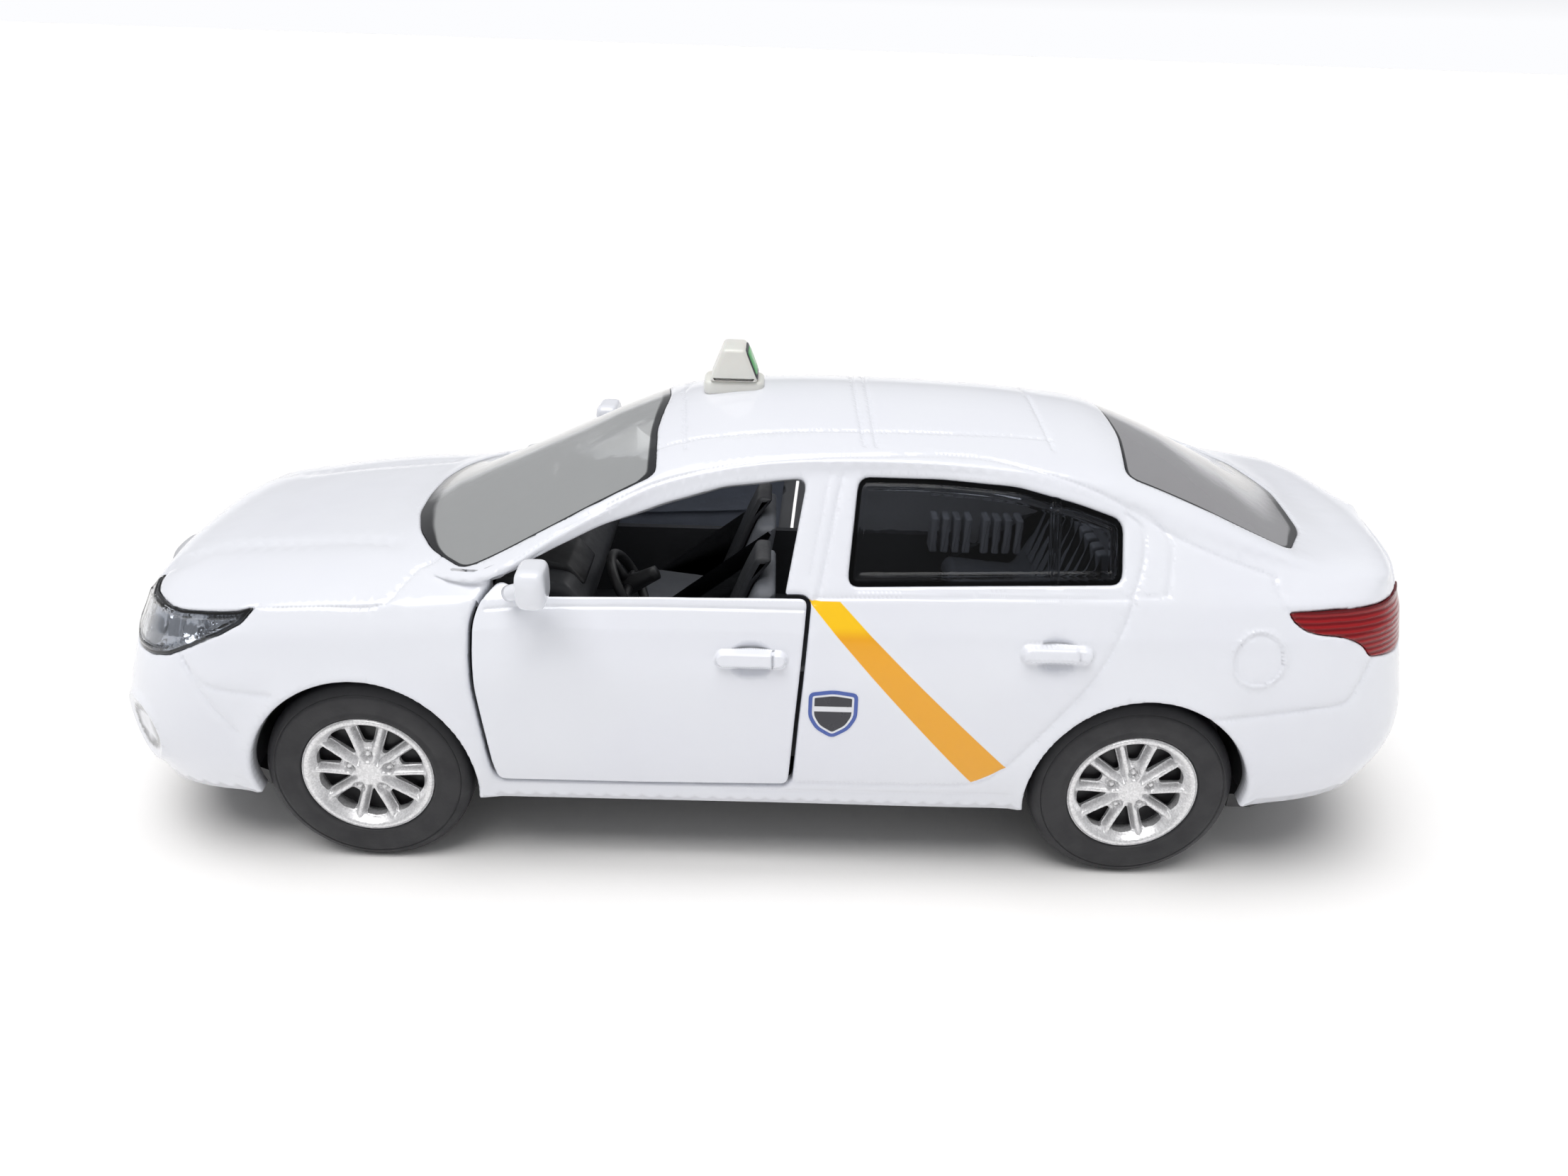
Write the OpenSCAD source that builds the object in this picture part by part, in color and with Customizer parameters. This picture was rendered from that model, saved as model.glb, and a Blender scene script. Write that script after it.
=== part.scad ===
// Die-cast toy taxi: a four-door saloon with opening front doors and free-rolling wheelsets.
// Frame: +X forwards, +Y to the car's left, +Z up, millimetres. The origin is on the ground,
// under the middle of the overall box.

/* [Body] */
// Half of the body's length at bumper height
half_len = 63; // [60:0.5:66]
// Half of the body's width at door height
half_w = 23.4; // [22.6:0.1:25]
// Thickness of the die-cast wall
wall = 1.2; // [0.9:0.05:1.5]
// Height of the sill's lower edge above the ground
sill_z = 7.6; // [7:0.1:8.2]
// Height of the roof's crown above the ground
roof_z = 41.8; // [40.5:0.1:43]
// Gap round each opening door
door_gap = 0.45; // [0.42:0.01:0.5]

/* [Wheels] */
// Radius of the tyre
tyre_r = 9.5; // [9:0.1:9.7]
// Width of the tyre
tyre_w = 6.8; // [6:0.1:7.2]
// Radius of the rim at the tyre's bead
rim_r = 6.1; // [5.5:0.1:6.6]
// Distance from the body's side to the tyre's outer face
tyre_tuck = 0.9; // [0.8:0.1:1.8]
// Front axle ahead of the origin
axle_front_x = 36.8; // [36:0.1:37.6]
// Rear axle behind the origin
axle_rear_x = 34.3; // [33.8:0.1:35]
// Radius of the steel axles
axle_r = 0.9; // [0.7:0.05:1.1]
// Running clearance round an axle or pin
run_gap = 0.06; // [0.04:0.01:0.09]
// Radius of the wheel arch openings
arch_r = 10.3; // [10.1:0.1:10.9]

/* [Doors] */
// Hinge axis ahead of the origin
hinge_x = 23; // [22.7:0.1:23.2]
// Hinge axis inside the door's skin
hinge_in = 1.6; // [1.5:0.05:1.65]
// Radius of the hinge pin
pin_r = 0.4; // [0.3:0.05:0.45]

/* [Cabin] */
// Thickness of the clear glazing
glass_t = 1; // [0.7:0.05:1.2]
// Top of the cabin floor
floor_z = 10.6; // [10:0.1:11.5]
// Width of a front seat
seat_w = 11; // [9:0.1:12]

/* [Roof sign] */
// Length of the sign across the roof
sign_len = 4.7; // [4:0.1:6]
// Height of the sign above its foot
sign_h = 3.2; // [2.5:0.1:4]

/* [Mounts] */
// Radius of the two plinth screw holes
mount_r = 0.9; // [0.7:0.05:1.1]
// Spacing of the plinth screw holes along the car
mount_pitch = 24; // [20:0.5:28]

/* [Hidden] */
$fn = 48;
eps = 0.01;

// ---- Curves -------------------------------------------------------------------------------

// Smooth curve through the rows [x, a, b, ...] of k, which rise in x, read at x, column c
function span_of(k, x, i = 0) = i >= len(k) - 2 || x < k[i + 1][0] ? i : span_of(k, x, i + 1);
function slope_at(k, i, c) =
    let (a = max(i - 1, 0), b = min(i + 1, len(k) - 1)) (k[b][c] - k[a][c]) / (k[b][0] - k[a][0]);
function curve(k, x, c = 1) =
    let (i = span_of(k, x), h = k[i + 1][0] - k[i][0],
         t = min(1, max(0, (x - k[i][0]) / h)),
         m0 = slope_at(k, i, c) * h, m1 = slope_at(k, i + 1, c) * h)
    (2*t*t*t - 3*t*t + 1) * k[i][c] + (t*t*t - 2*t*t + t) * m0
    + (3*t*t - 2*t*t*t) * k[i + 1][c] + (t*t*t - t*t) * m1;

// Plan outline of the body: |x/a|^nose_pow + |y/b|^side_pow = 1
nose_pow = 13;
side_pow = 2.5;

// Levels up the side, from the lower edge to the belt:
// [level, length taken off each end, width taken off the side]
levels = [[0, 1.6, 1.0], [1, 0.2, 0.1], [2, 0, 0], [3, 1.0, 0.5], [4, 1.9, 1.6], [5, 2.8, 3.0]];
// Height of each level along the car: [x, z of level 0, 1, 2, 3, 4, 5]
heights = [[-62, 10.5, 13.5, 17, 21.5, 26.5, 30.0], [-57, 9.6, 13, 16.5, 21, 26, 28.8],
           [-46, 8.6, 12, 16, 20.8, 25.4, 28.4], [-24, sill_z, 11.4, 15.5, 20.6, 25.1, 28.1],
           [0, sill_z, 11.2, 15.2, 20.5, 24.9, 27.9], [24, sill_z, 11.2, 15.2, 20.4, 24.6, 27.1],
           [36, sill_z, 11.1, 15.1, 20, 23.9, 26.2], [46, sill_z - 0.2, 11, 15, 19.6, 23.4, 25.5],
           [56, 7.0, 10.8, 14.6, 18.8, 22, 24.2], [62, 6.4, 10.2, 14, 17.8, 20.5, 22.3]];

// Rails over the top, from the belt in: low rail, high rail, crown: [x, y, z, y, z, z]
rails = [[-60.2, 4, 30.1, 2, 30.3, 30.4], [-57, 14.5, 30.0, 10, 30.9, 31.2],
         [-53, 16.6, 30.2, 13, 31.0, 31.4], [-49, 17.6, 30.3, 14.8, 31.3, 32.5],
         [-44, 17.6, 31.2, 15.0, 33.0, 34.9], [-38, 17.0, 32.6, 13.8, 35.5, 37.8],
         [-31.4, 16.0, 34.2, 12.8, 37.6, 40.2], [-27, 15.4, 35.4, 12.5, 38.2, 40.9],
         [-21.9, 14.8, 36.4, 12.4, 38.6, 41.4], [-15, 14.4, 36.9, 12.5, 38.9, roof_z - 0.1],
         [-7.7, 14.4, 36.9, 12.6, 39.0, roof_z], [-1.2, 14.7, 36.6, 12.7, 38.9, roof_z - 0.1],
         [4.4, 15.2, 36.0, 13.0, 38.4, roof_z - 0.5], [10.5, 16.0, 34.4, 13.9, 37.2, 40.0],
         [15.3, 17.0, 32.4, 15.2, 34.9, 38.2], [19.5, 18.0, 30.5, 16.4, 32.6, 36.2],
         [24.9, 19.2, 28.0, 17.7, 29.6, 33.7], [28.5, 18.4, 27.6, 16.9, 28.5, 32.1],
         [32, 17.2, 27.6, 13.5, 28.6, 30.5], [35.6, 16.4, 27.6, 11.5, 28.5, 28.9],
         [40, 16.0, 27.5, 10.5, 28.2, 28.4], [50, 14.5, 26.5, 9.0, 27.2, 27.4],
         [57, 12.5, 25.2, 7.0, 25.9, 26.1], [60.2, 4, 22.7, 2, 23.3, 23.4]];

// Columns round the plan outline as [x share, y share], from the tail's middle to the nose's
end_cols = 6;
side_cols = 42;
corner = 0.82;
corner_x = pow(1 - pow(corner, side_pow), 1 / nose_pow);
function end_col(i) = let (y = corner * i / end_cols) [pow(1 - pow(y, side_pow), 1 / nose_pow), y];
function side_col(i) = let (x = -corner_x + 2 * corner_x * i / side_cols)
    [x, pow(1 - pow(abs(x), nose_pow), 1 / side_pow)];
columns = [for (i = [1 : end_cols - 1]) [-end_col(i)[0], end_col(i)[1]],
           for (i = [0 : side_cols]) side_col(i),
           for (i = [end_cols - 1 : -1 : 1]) end_col(i)];

// Rows up the side and over the top
side_rows = [0, 0.5, 1, 1.5, 2, 2.5, 3, 3.4, 3.8, 4.2, 4.6, 5];
top_rows = 6;

// The side is smooth up to the crease and from there to the belt
crease = 4;
function stretch(k, v) = v < crease ? [for (i = [0 : crease]) k[i]] : [for (i = [crease : 5]) k[i]];
function level_len(v, inset) = half_len - curve(stretch(levels, v), v, 1) - inset;
function level_w(v, inset) = half_w - curve(stretch(levels, v), v, 2) - inset;
function level_z(v, x) = curve(stretch([for (j = [0 : 5]) [j, curve(heights, x, j + 1)]], v), v);
function side_point(c, v, inset) =
    let (x = c[0] * level_len(v, inset), y = c[1] * level_w(v, inset))
    [x, y, level_z(v, x)];
// t runs from the belt, 0, to the crown, 3
function top_point(c, t, inset) =
    let (b = side_point(c, 5, 0), s = side_point(c, 5, inset), x = b[0],
         share = min(1, b[1] / 14),
         k = [[0, s[1], b[2]],
              [1, (curve(rails, x, 1) - inset * 0.8) * share, curve(rails, x, 2)],
              [2, (curve(rails, x, 3) - inset * 0.5) * share, curve(rails, x, 4)],
              [3, 0, curve(rails, x, 5)],
              [4, (inset * 0.5 - curve(rails, x, 3)) * share, curve(rails, x, 4)]])
    [s[0], max(0, curve(k, t, 1)), curve(k, t, 2) - inset * min(1, t / 1.5)];

// One column of the left half's outline, from the lower edge to the crown
function outline(c, inset, drop) =
    concat([let (p = side_point(c, 0, inset)) [p[0], p[1], p[2] - drop - eps]],
           [for (v = side_rows) side_point(c, v, inset)],
           [for (i = [1 : top_rows]) top_point(c, 3 * i / top_rows, inset)]);
// The whole body as a closed ring of points at one column
function ring(c, inset, drop) =
    let (o = outline(c, inset, drop), n = len(o))
    concat([[o[0][0], 0, o[0][2]]], o, [for (i = [n - 2 : -1 : 0]) [o[i][0], -o[i][1], o[i][2]]]);

// Solid bounded by the body's surface, moved in by inset, its lower edge moved down by drop,
// between two of the columns
module form(inset, drop, first = 0, last = len(columns) - 1) {
    rings = [for (i = [first : last]) ring(columns[i], inset, drop)];
    n = len(rings[0]);
    m = len(rings);
    faces = concat(
        [for (i = [0 : m - 2]) for (j = [0 : n - 1]) let (k = (j + 1) % n)
            each [[i*n + j, (i+1)*n + k, i*n + k], [i*n + j, (i+1)*n + j, (i+1)*n + k]]],
        [[for (j = [0 : n - 1]) j]], [[for (j = [n - 1 : -1 : 0]) (m-1)*n + j]]);
    polyhedron([for (r = rings) for (p = r) p], faces, convexity = 8);
}
// The first column at or ahead of x
function col_at(x, i = 0) = columns[i][0] * half_len > x ? i : col_at(x, i + 1);

// ---- Outlines seen from the side, as [x, z] ---------------------------------------------------

door_edge = [[-3.2, 27.9], [10, 27.7], [21, 27.4], [24, 28.4], [25.5, 27], [26.1, 25.4],
             [26.2, 22.5], [26.1, 19.6], [25.7, 17], [25.3, 14.4], [24.9, 11.5], [24.5, 9.9],
             [11, 9.9], [-2.0, 10.1], [-2.4, 17]];
front_window = [[-3, 37.0], [-1.2, 28], [-1.2, 27], [24, 27.5], [24.4, 28.2], [22, 29.5],
                [19.5, 30.8], [15.3, 32.8], [9.8, 34.8], [4.4, 36.3], [-1.2, 36.9]];
rear_pane = [[-7.6, 37.2], [-6.7, 28.9], [-31.1, 29.6], [-31.4, 34.4], [-27.4, 35.6],
             [-21.9, 36.8], [-15, 37.2]];
headlamp_edge = [[45.5, 25.7], [46.7, 24.2], [48.7, 23.2], [51.6, 21.8], [53.7, 20.8],
                 [55.7, 20.3], [57.4, 20.3], [64, 21.5], [64, 24.6], [57, 25.3], [52.5, 24.9],
                 [47, 25.3]];
tail_lamp_edge = [[-45.9, 27.8], [-46.5, 27], [-48.7, 26], [-50.6, 25.8], [-52.5, 25.2],
                  [-54.1, 23.8], [-57.7, 23.3], [-64, 23.6], [-64, 28], [-50, 28.1]];
// Seen from above, as [x, y], left half only
windscreen_edge = [[35.2, 0], [34.9, 5], [33.6, 9.5], [31.6, 13.2], [27.6, 17.4], [19, 16.2],
                   [10.6, 14.6], [11.1, 7], [10.4, 0]];
rear_window_edge = [[-32.5, 0], [-32.8, 6], [-32, 12.9], [-40, 14.4], [-47.2, 15.4],
                    [-50.2, 10], [-51.3, 0]];

module side_cut(edge, y0, y1, grow = 0) {
    translate([0, y1, 0])
        rotate([90, 0, 0])
            linear_extrude(y1 - y0)
                offset(delta = grow)
                    polygon(edge);
}
module plan_cut(edge, z0, z1, grow = 0) {
    translate([0, 0, z0])
        linear_extrude(z1 - z0)
            offset(delta = grow)
                polygon(concat(edge, [for (i = [len(edge) - 2 : -1 : 1]) [edge[i][0], -edge[i][1]]]));
}
// One casting: its whole surface is worked out together
module cast() {
    resize([0, 0, 0])
        children();
}
module both_sides() {
    children();
    mirror([0, 1, 0])
        children();
}

seat_gap = 0.04;
bed = 0.15;
hinge_y = half_w - hinge_in;
barrel_r = 1;
lug_r = 0.8;
lug_low = [11, 12.4];
lug_high = [16.6, 18];
lug_gap = 0.3;
lamp_t = 1.5;
boss_r = 2.2;
screw_r = 0.8;
screw_head_r = 1.6;
screw_head_t = 0.7;
thread_gap = 0.06;
plate_top = 8;
plate_t = 1.5;
boss_front_x = 51.5;
boss_rear_x = -50;
grille_w = 17;
grille_z = [15.5, 21.5];

// ---- Body -----------------------------------------------------------------------------------

module body_shell() {
    color([0.93, 0.93, 0.94])
        cast() difference() {
            union() {
                difference() {
                    form(0, 0);
                    form(wall, 6);
                }
                intersection() {
                    form(0.5, 0);
                    union() {
                        for (x = [boss_front_x, boss_rear_x])
                            translate([x, 0, plate_top])
                                cylinder(r = boss_r, h = 40);
                    }
                }
            }
            both_sides() {
                side_cut(door_edge, 17, 40, door_gap);
                side_cut(front_window, 8, 40);
                side_cut(rear_pane, 8, 40);
                side_cut(headlamp_edge, 9, 40);
                side_cut(tail_lamp_edge, 9, 40);
                for (x = [axle_front_x, -axle_rear_x])
                    translate([x, 40, tyre_r])
                        rotate([90, 0, 0])
                            cylinder(r = arch_r, h = 25.5);
            }
            plan_cut(windscreen_edge, 26, 50);
            plan_cut(rear_window_edge, 28, 50);
            translate([50, -grille_w / 2, grille_z[0]])
                cube([20, grille_w, grille_z[1] - grille_z[0]]);
            for (x = [boss_front_x, boss_rear_x])
                translate([x, 0, 0])
                    cylinder(r = screw_r + thread_gap, h = 20, $fn = 24);
        }
}

module door_left() {
    first = col_at(-7);
    last = col_at(28);
    cast() difference() {
        intersection() {
            form(0, 0, first, last);
            side_cut(door_edge, 15, 40);
        }
        form(wall, 6, first - 1, last + 1);
        translate([hinge_x, hinge_y, 0])
            cylinder(r = pin_r + 0.2, h = 19, $fn = 24);
        for (lug = [lug_low, lug_high])
            translate([hinge_x, hinge_y, lug[0] - lug_gap])
                cylinder(r = lug_r + 0.25, h = lug[1] - lug[0] + 2 * lug_gap, $fn = 24);
    }
    translate([hinge_x, hinge_y, lug_low[1] + lug_gap])
        difference() {
            cylinder(r = barrel_r, h = lug_high[0] - lug_low[1] - 2 * lug_gap);
            translate([0, 0, -1])
                cylinder(r = pin_r + run_gap, h = 20);
        }
}
module front_door_left() {
    color([0.93, 0.93, 0.94])
        door_left();
}
module front_door_right() {
    color([0.93, 0.93, 0.94])
        mirror([0, 1, 0])
            door_left();
}
module pin_left() {
    translate([hinge_x, hinge_y, lug_low[0]])
        cylinder(r = pin_r, h = lug_high[1] - lug_low[0]);
}
module hinge_pin_left() {
    color([0.7, 0.7, 0.72])
        pin_left();
}
module hinge_pin_right() {
    color([0.7, 0.7, 0.72])
        mirror([0, 1, 0])
            pin_left();
}

// ---- Glazing and lamps ------------------------------------------------------------------------

module windscreen() {
    color([0.3, 0.33, 0.35, 0.5])
        cast() intersection() {
            difference() {
                form(bed, 0, col_at(4), col_at(42));
                form(bed + glass_t, 6, col_at(4) - 1, col_at(42) + 1);
            }
            plan_cut(windscreen_edge, 26, 50, -seat_gap);
        }
}
module rear_window() {
    color([0.3, 0.33, 0.35, 0.5])
        cast() intersection() {
            difference() {
                form(bed, 0, col_at(-56), col_at(-25));
                form(bed + glass_t, 6, col_at(-56) - 1, col_at(-25) + 1);
            }
            plan_cut(rear_window_edge, 28, 50, -seat_gap);
        }
}
module side_glass() {
    cast() intersection() {
        difference() {
            form(bed, 0, col_at(-36), col_at(-2));
            form(bed + glass_t, 6, col_at(-36) - 1, col_at(-2) + 1);
        }
        side_cut(rear_pane, 8, 40, -seat_gap);
    }
}
module side_glass_left() {
    color([0.3, 0.33, 0.35, 0.5])
        side_glass();
}
module side_glass_right() {
    color([0.3, 0.33, 0.35, 0.5])
        mirror([0, 1, 0])
            side_glass();
}
module headlamp() {
    cast() intersection() {
        difference() {
            form(0.05, 0, col_at(42), len(columns) - 1);
            form(lamp_t, 6, col_at(42) - 1, len(columns) - 1);
        }
        side_cut(headlamp_edge, 9 + seat_gap, 40, -seat_gap);
    }
}
module headlamp_left() {
    color([0.85, 0.88, 0.9, 0.7])
        headlamp();
}
module headlamp_right() {
    color([0.85, 0.88, 0.9, 0.7])
        mirror([0, 1, 0])
            headlamp();
}
module tail_lamp() {
    cast() intersection() {
        difference() {
            form(0.05, 0, 0, col_at(-42));
            form(lamp_t, 6, 0, col_at(-42) + 1);
        }
        side_cut(tail_lamp_edge, 9 + seat_gap, 40, -seat_gap);
    }
}
module tail_lamp_left() {
    color([0.75, 0.08, 0.08])
        tail_lamp();
}
module tail_lamp_right() {
    color([0.75, 0.08, 0.08])
        mirror([0, 1, 0])
            tail_lamp();
}
module grille() {
    color([0.1, 0.1, 0.1])
        cast() intersection() {
            form(0.3, 0, col_at(50), len(columns) - 1);
            translate([58.6, -grille_w / 2 + seat_gap, grille_z[0] + seat_gap])
                cube([9, grille_w - 2 * seat_gap, grille_z[1] - grille_z[0] - 2 * seat_gap]);
        }
}

// ---- Plates and sign --------------------------------------------------------------------------

plate_size = [0.6, 13.4, 3.2];
module plate_front() {
    color([0.95, 0.95, 0.93])
        cast() difference() {
            translate([half_len - 0.35, -plate_size[1] / 2, 10.6])
                cube(plate_size);
            form(-0.02, 0, len(columns) - 8, len(columns) - 1);
        }
}
module plate_rear() {
    color([0.95, 0.95, 0.93])
        cast() difference() {
            translate([-half_len - 0.25, -plate_size[1] / 2, 17])
                cube(plate_size);
            form(-0.02, 0, 0, 8);
        }
}
sign_x = 4.1;
foot_z = roof_z - 1.05;
foot_t = 1.4;
module sign_foot() {
    color([0.95, 0.93, 0.85])
        cast() difference() {
            translate([sign_x - 2.95, -sign_len / 2 + 0.15, foot_z])
                cube([5.9, sign_len - 0.3, foot_t]);
            form(-0.02, 0, col_at(-2), col_at(12));
        }
}
module sign_box() {
    color([0.95, 0.93, 0.85])
        translate([sign_x, 0, foot_z + foot_t])
            rotate([90, 0, 0])
                translate([0, 0, -sign_len / 2])
                    linear_extrude(sign_len)
                        polygon([[-2.35, 0], [2.35, 0], [1.05, sign_h], [-1.05, sign_h]]);
}

// ---- Mirrors ----------------------------------------------------------------------------------

module door_mirror() {
    hull() {
        for (y = [22.5, 25.5], z = [29.3, 31.3])
            translate([19.1, y, z])
                sphere(r = 0.7, $fn = 16);
        for (y = [22.9, 25.1])
            translate([20.2, y, 30.2])
                sphere(r = 1.1, $fn = 16);
    }
    hull() {
        translate([22.4, 20.7, 27.9])
            sphere(r = 0.5, $fn = 16);
        translate([20.4, 22.9, 29.5])
            sphere(r = 0.7, $fn = 16);
        translate([23.4, 20.6, 27.9])
            sphere(r = 0.5, $fn = 16);
    }
}
module mirror_left() {
    color([0.93, 0.93, 0.94])
        cast() difference() {
            door_mirror();
            form(-0.02, 0, col_at(17), col_at(27));
        }
}
module mirror_right() {
    color([0.93, 0.93, 0.94])
        mirror([0, 1, 0])
            cast() difference() {
                door_mirror();
                form(-0.02, 0, col_at(17), col_at(27));
            }
}

// ---- Chassis and cabin ------------------------------------------------------------------------

plate_gap = 0.3;
plate_short = 5;
plate_len = half_len - levels[0][1] - wall - plate_short;
plate_w = half_w - levels[0][2] - wall - plate_gap;
plate_shares = [0, 0.3, 0.5, 0.65, 0.78, 0.88, 0.95, 1];
function plan_x(share) = plate_len * pow(1 - pow(share, side_pow), 1 / nose_pow);
plate_half = [for (k = plate_shares) [plan_x(k), k * plate_w]];
plate_edge = concat([for (k = plate_half) if (k[0] > 0) k],
                    [for (i = [len(plate_half) - 1 : -1 : 0]) if (plate_half[i][0] > 0)
                        [-plate_half[i][0], plate_half[i][1]]]);
bearing_y = 12;
bearing_r = 2.4;
bearing_w = 4;
inner_tyre_y = half_w - tyre_tuck - tyre_w;
module chassis_plate() {
    color([0.07, 0.07, 0.08])
        difference() {
            union() {
                plan_cut(plate_edge, plate_top - plate_t, plate_top);
                for (x = [axle_front_x, -axle_rear_x])
                    both_sides()
                        translate([x, bearing_y, tyre_r]) {
                            rotate([90, 0, 0])
                                translate([0, 0, -bearing_w / 2])
                                    cylinder(r = bearing_r, h = bearing_w);
                            translate([-bearing_r, -bearing_w / 2, plate_top - plate_t - tyre_r])
                                cube([2 * bearing_r, bearing_w, plate_t + tyre_r - plate_top]);
                        }
            }
            for (x = [axle_front_x, -axle_rear_x]) {
                translate([x, 0, tyre_r])
                    rotate([90, 0, 0])
                        cylinder(r = axle_r + run_gap, h = 60, center = true);
                both_sides()
                    translate([x - arch_r, inner_tyre_y - 0.6, 0])
                        cube([2 * arch_r, 20, 30]);
            }
            for (x = [boss_front_x, boss_rear_x])
                translate([x, 0, plate_top - plate_t - eps]) {
                    cylinder(r = screw_r + 0.1, h = 20);
                    cylinder(r = screw_head_r + 0.15, h = screw_head_t + eps);
                }
            for (x = [-mount_pitch / 2, mount_pitch / 2])
                translate([x, 0, plate_top - plate_t - eps])
                    cylinder(r = mount_r, h = 3);
        }
}
module screw(x) {
    translate([x, 0, plate_top - plate_t]) {
        cylinder(r = screw_head_r, h = screw_head_t);
        cylinder(r = screw_r, h = 8);
    }
}
module screw_front() {
    color([0.7, 0.7, 0.72])
        screw(boss_front_x);
}
module screw_rear() {
    color([0.7, 0.7, 0.72])
        screw(boss_rear_x);
}
tub_w = 17.6;
tub_narrow_w = inner_tyre_y - 1.2;
tub_front_x = 26;
tub_mid_x = -22.5;
tub_rear_x = -46;
tub_wall = 1;
tub_top = 19;
bench_z = 13.5;
module tub_shell(x0, x1, w, z0, z1) {
    difference() {
        translate([x0, -w, z0])
            cube([x1 - x0, 2 * w, z1 - z0]);
        translate([x0 + tub_wall, -w + tub_wall, z0 + tub_wall])
            cube([x1 - x0 - 2 * tub_wall, 2 * (w - tub_wall), z1]);
    }
}
module hinge_lugs() {
    for (lug = [lug_low, lug_high])
        translate([0, 0, lug[0]]) {
            translate([hinge_x, hinge_y, 0])
                cylinder(r = lug_r, h = lug[1] - lug[0]);
            translate([hinge_x, hinge_y, 0])
                rotate([0, 0, -135])
                    translate([0, -lug_r, 0])
                        cube([6.4, 2 * lug_r, lug[1] - lug[0]]);
        }
}
module cabin_tub() {
    color([0.12, 0.12, 0.13])
        difference() {
            union() {
                tub_shell(tub_mid_x, tub_front_x, tub_w, floor_z - tub_wall, tub_top);
                tub_shell(tub_rear_x, tub_mid_x + tub_wall, tub_narrow_w, bench_z - tub_wall,
                          tub_top);
                for (x = [tub_mid_x + 6, tub_front_x - 8])
                    translate([x, -tub_w + 4, plate_top])
                        cube([3, 2 * tub_w - 8, floor_z - plate_top]);
                both_sides()
                    hinge_lugs();
            }
            translate([tub_rear_x + tub_wall, -tub_narrow_w + tub_wall, bench_z])
                cube([tub_mid_x - tub_rear_x + 2 * tub_wall, 2 * (tub_narrow_w - tub_wall), 20]);
            both_sides()
                translate([hinge_x, hinge_y, 0])
                    cylinder(r = pin_r, h = 30);
            translate([boss_rear_x, 0, 0])
                cylinder(r = boss_r + 0.3, h = 40);
        }
}

// ---- Seats and controls -----------------------------------------------------------------------

seat_side = [[0, 0], [10, 0], [11, 3], [10.4, 4.6], [1.6, 3.6], [-2.6, 14.4], [-4.6, 14.6],
             [-3, 4.5]];
module front_seat(y) {
    translate([4, y + seat_w / 2, floor_z])
        rotate([90, 0, 0])
            linear_extrude(seat_w)
                polygon(seat_side);
}
module front_seat_left() {
    color([0.15, 0.15, 0.16])
        front_seat(8.2);
}
module front_seat_right() {
    color([0.15, 0.15, 0.16])
        front_seat(-8.2);
}
bench_side = [[0, 0], [9, 0], [10, 3], [9.4, 4.4], [1.6, 3.6], [-3.4, 13], [-5.4, 13],
              [-3, 4.5]];
module rear_bench() {
    color([0.15, 0.15, 0.16])
        translate([-30, tub_narrow_w - tub_wall - seat_gap, bench_z])
            rotate([90, 0, 0])
                linear_extrude(2 * (tub_narrow_w - tub_wall - seat_gap))
                    polygon(bench_side);
}
module parcel_shelf() {
    color([0.1, 0.1, 0.1])
        translate([-45, -tub_narrow_w + 1, 26.5])
            cube([9.6, 2 * tub_narrow_w - 2, 1]);
}
dash_side = [[7.6, tub_top], [1, 20], [0, 23.5], [2, 26], [7, 26.6], [9, 25.6], [9, tub_top]];
module dashboard() {
    color([0.1, 0.1, 0.1])
        translate([17, 15, 0])
            rotate([90, 0, 0])
                linear_extrude(30)
                    polygon(dash_side);
}
module steering_wheel() {
    color([0.08, 0.08, 0.08])
        translate([14, 8.2, 23])
            rotate([0, 118, 0]) {
                rotate_extrude()
                    translate([3.4, 0])
                        circle(r = 0.5, $fn = 16);
                cube([1, 6.8, 0.7], center = true);
                cylinder(r = 0.6, h = 3.7);
            }
}

// ---- Wheels -----------------------------------------------------------------------------------

tyre_face_y = half_w - tyre_tuck;
spoke_count = 10;
axle_inset = 1.6;
module axle(x) {
    translate([x, 0, tyre_r])
        rotate([90, 0, 0])
            cylinder(r = axle_r, h = 2 * (tyre_face_y - axle_inset), center = true);
}
module front_axle() {
    color([0.7, 0.7, 0.72])
        axle(axle_front_x);
}
module rear_axle() {
    color([0.7, 0.7, 0.72])
        axle(-axle_rear_x);
}
// Profile turned about the axle: [radius, distance in from the tyre's outer face]
module rim_at(x) {
    translate([x, tyre_face_y, tyre_r])
        rotate([90, 0, 0])
            difference() {
                rotate_extrude()
                    polygon([[0, 1.2], [1.8, 1.0], [2.2, 1.4], [5, 0.9], [5.3, 0.2], [rim_r, 0],
                             [rim_r, tyre_w], [rim_r - 0.8, tyre_w], [rim_r - 0.8, 2.4],
                             [2.2, 3], [2.2, tyre_w], [0, tyre_w]]);
                for (i = [0 : spoke_count - 1])
                    rotate([0, 0, i * 360 / spoke_count])
                        translate([3.9, 0, 0])
                            cylinder(r = 0.75, h = 5, $fn = 24);
                translate([0, 0, axle_inset])
                    cylinder(r = axle_r, h = 10);
            }
}
module tyre_at(x) {
    translate([x, tyre_face_y, tyre_r])
        rotate([90, 0, 0])
            rotate_extrude()
                polygon([[rim_r, 0], [rim_r + 0.6, 0], [tyre_r - 0.9, 0.3], [tyre_r, 1.2],
                         [tyre_r, tyre_w - 1.2], [tyre_r - 0.9, tyre_w - 0.3],
                         [rim_r + 0.6, tyre_w], [rim_r, tyre_w]]);
}
module rim_front_left() {
    color([0.75, 0.76, 0.78])
        rim_at(axle_front_x);
}
module rim_front_right() {
    color([0.75, 0.76, 0.78])
        mirror([0, 1, 0])
            rim_at(axle_front_x);
}
module rim_rear_left() {
    color([0.75, 0.76, 0.78])
        rim_at(-axle_rear_x);
}
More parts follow.
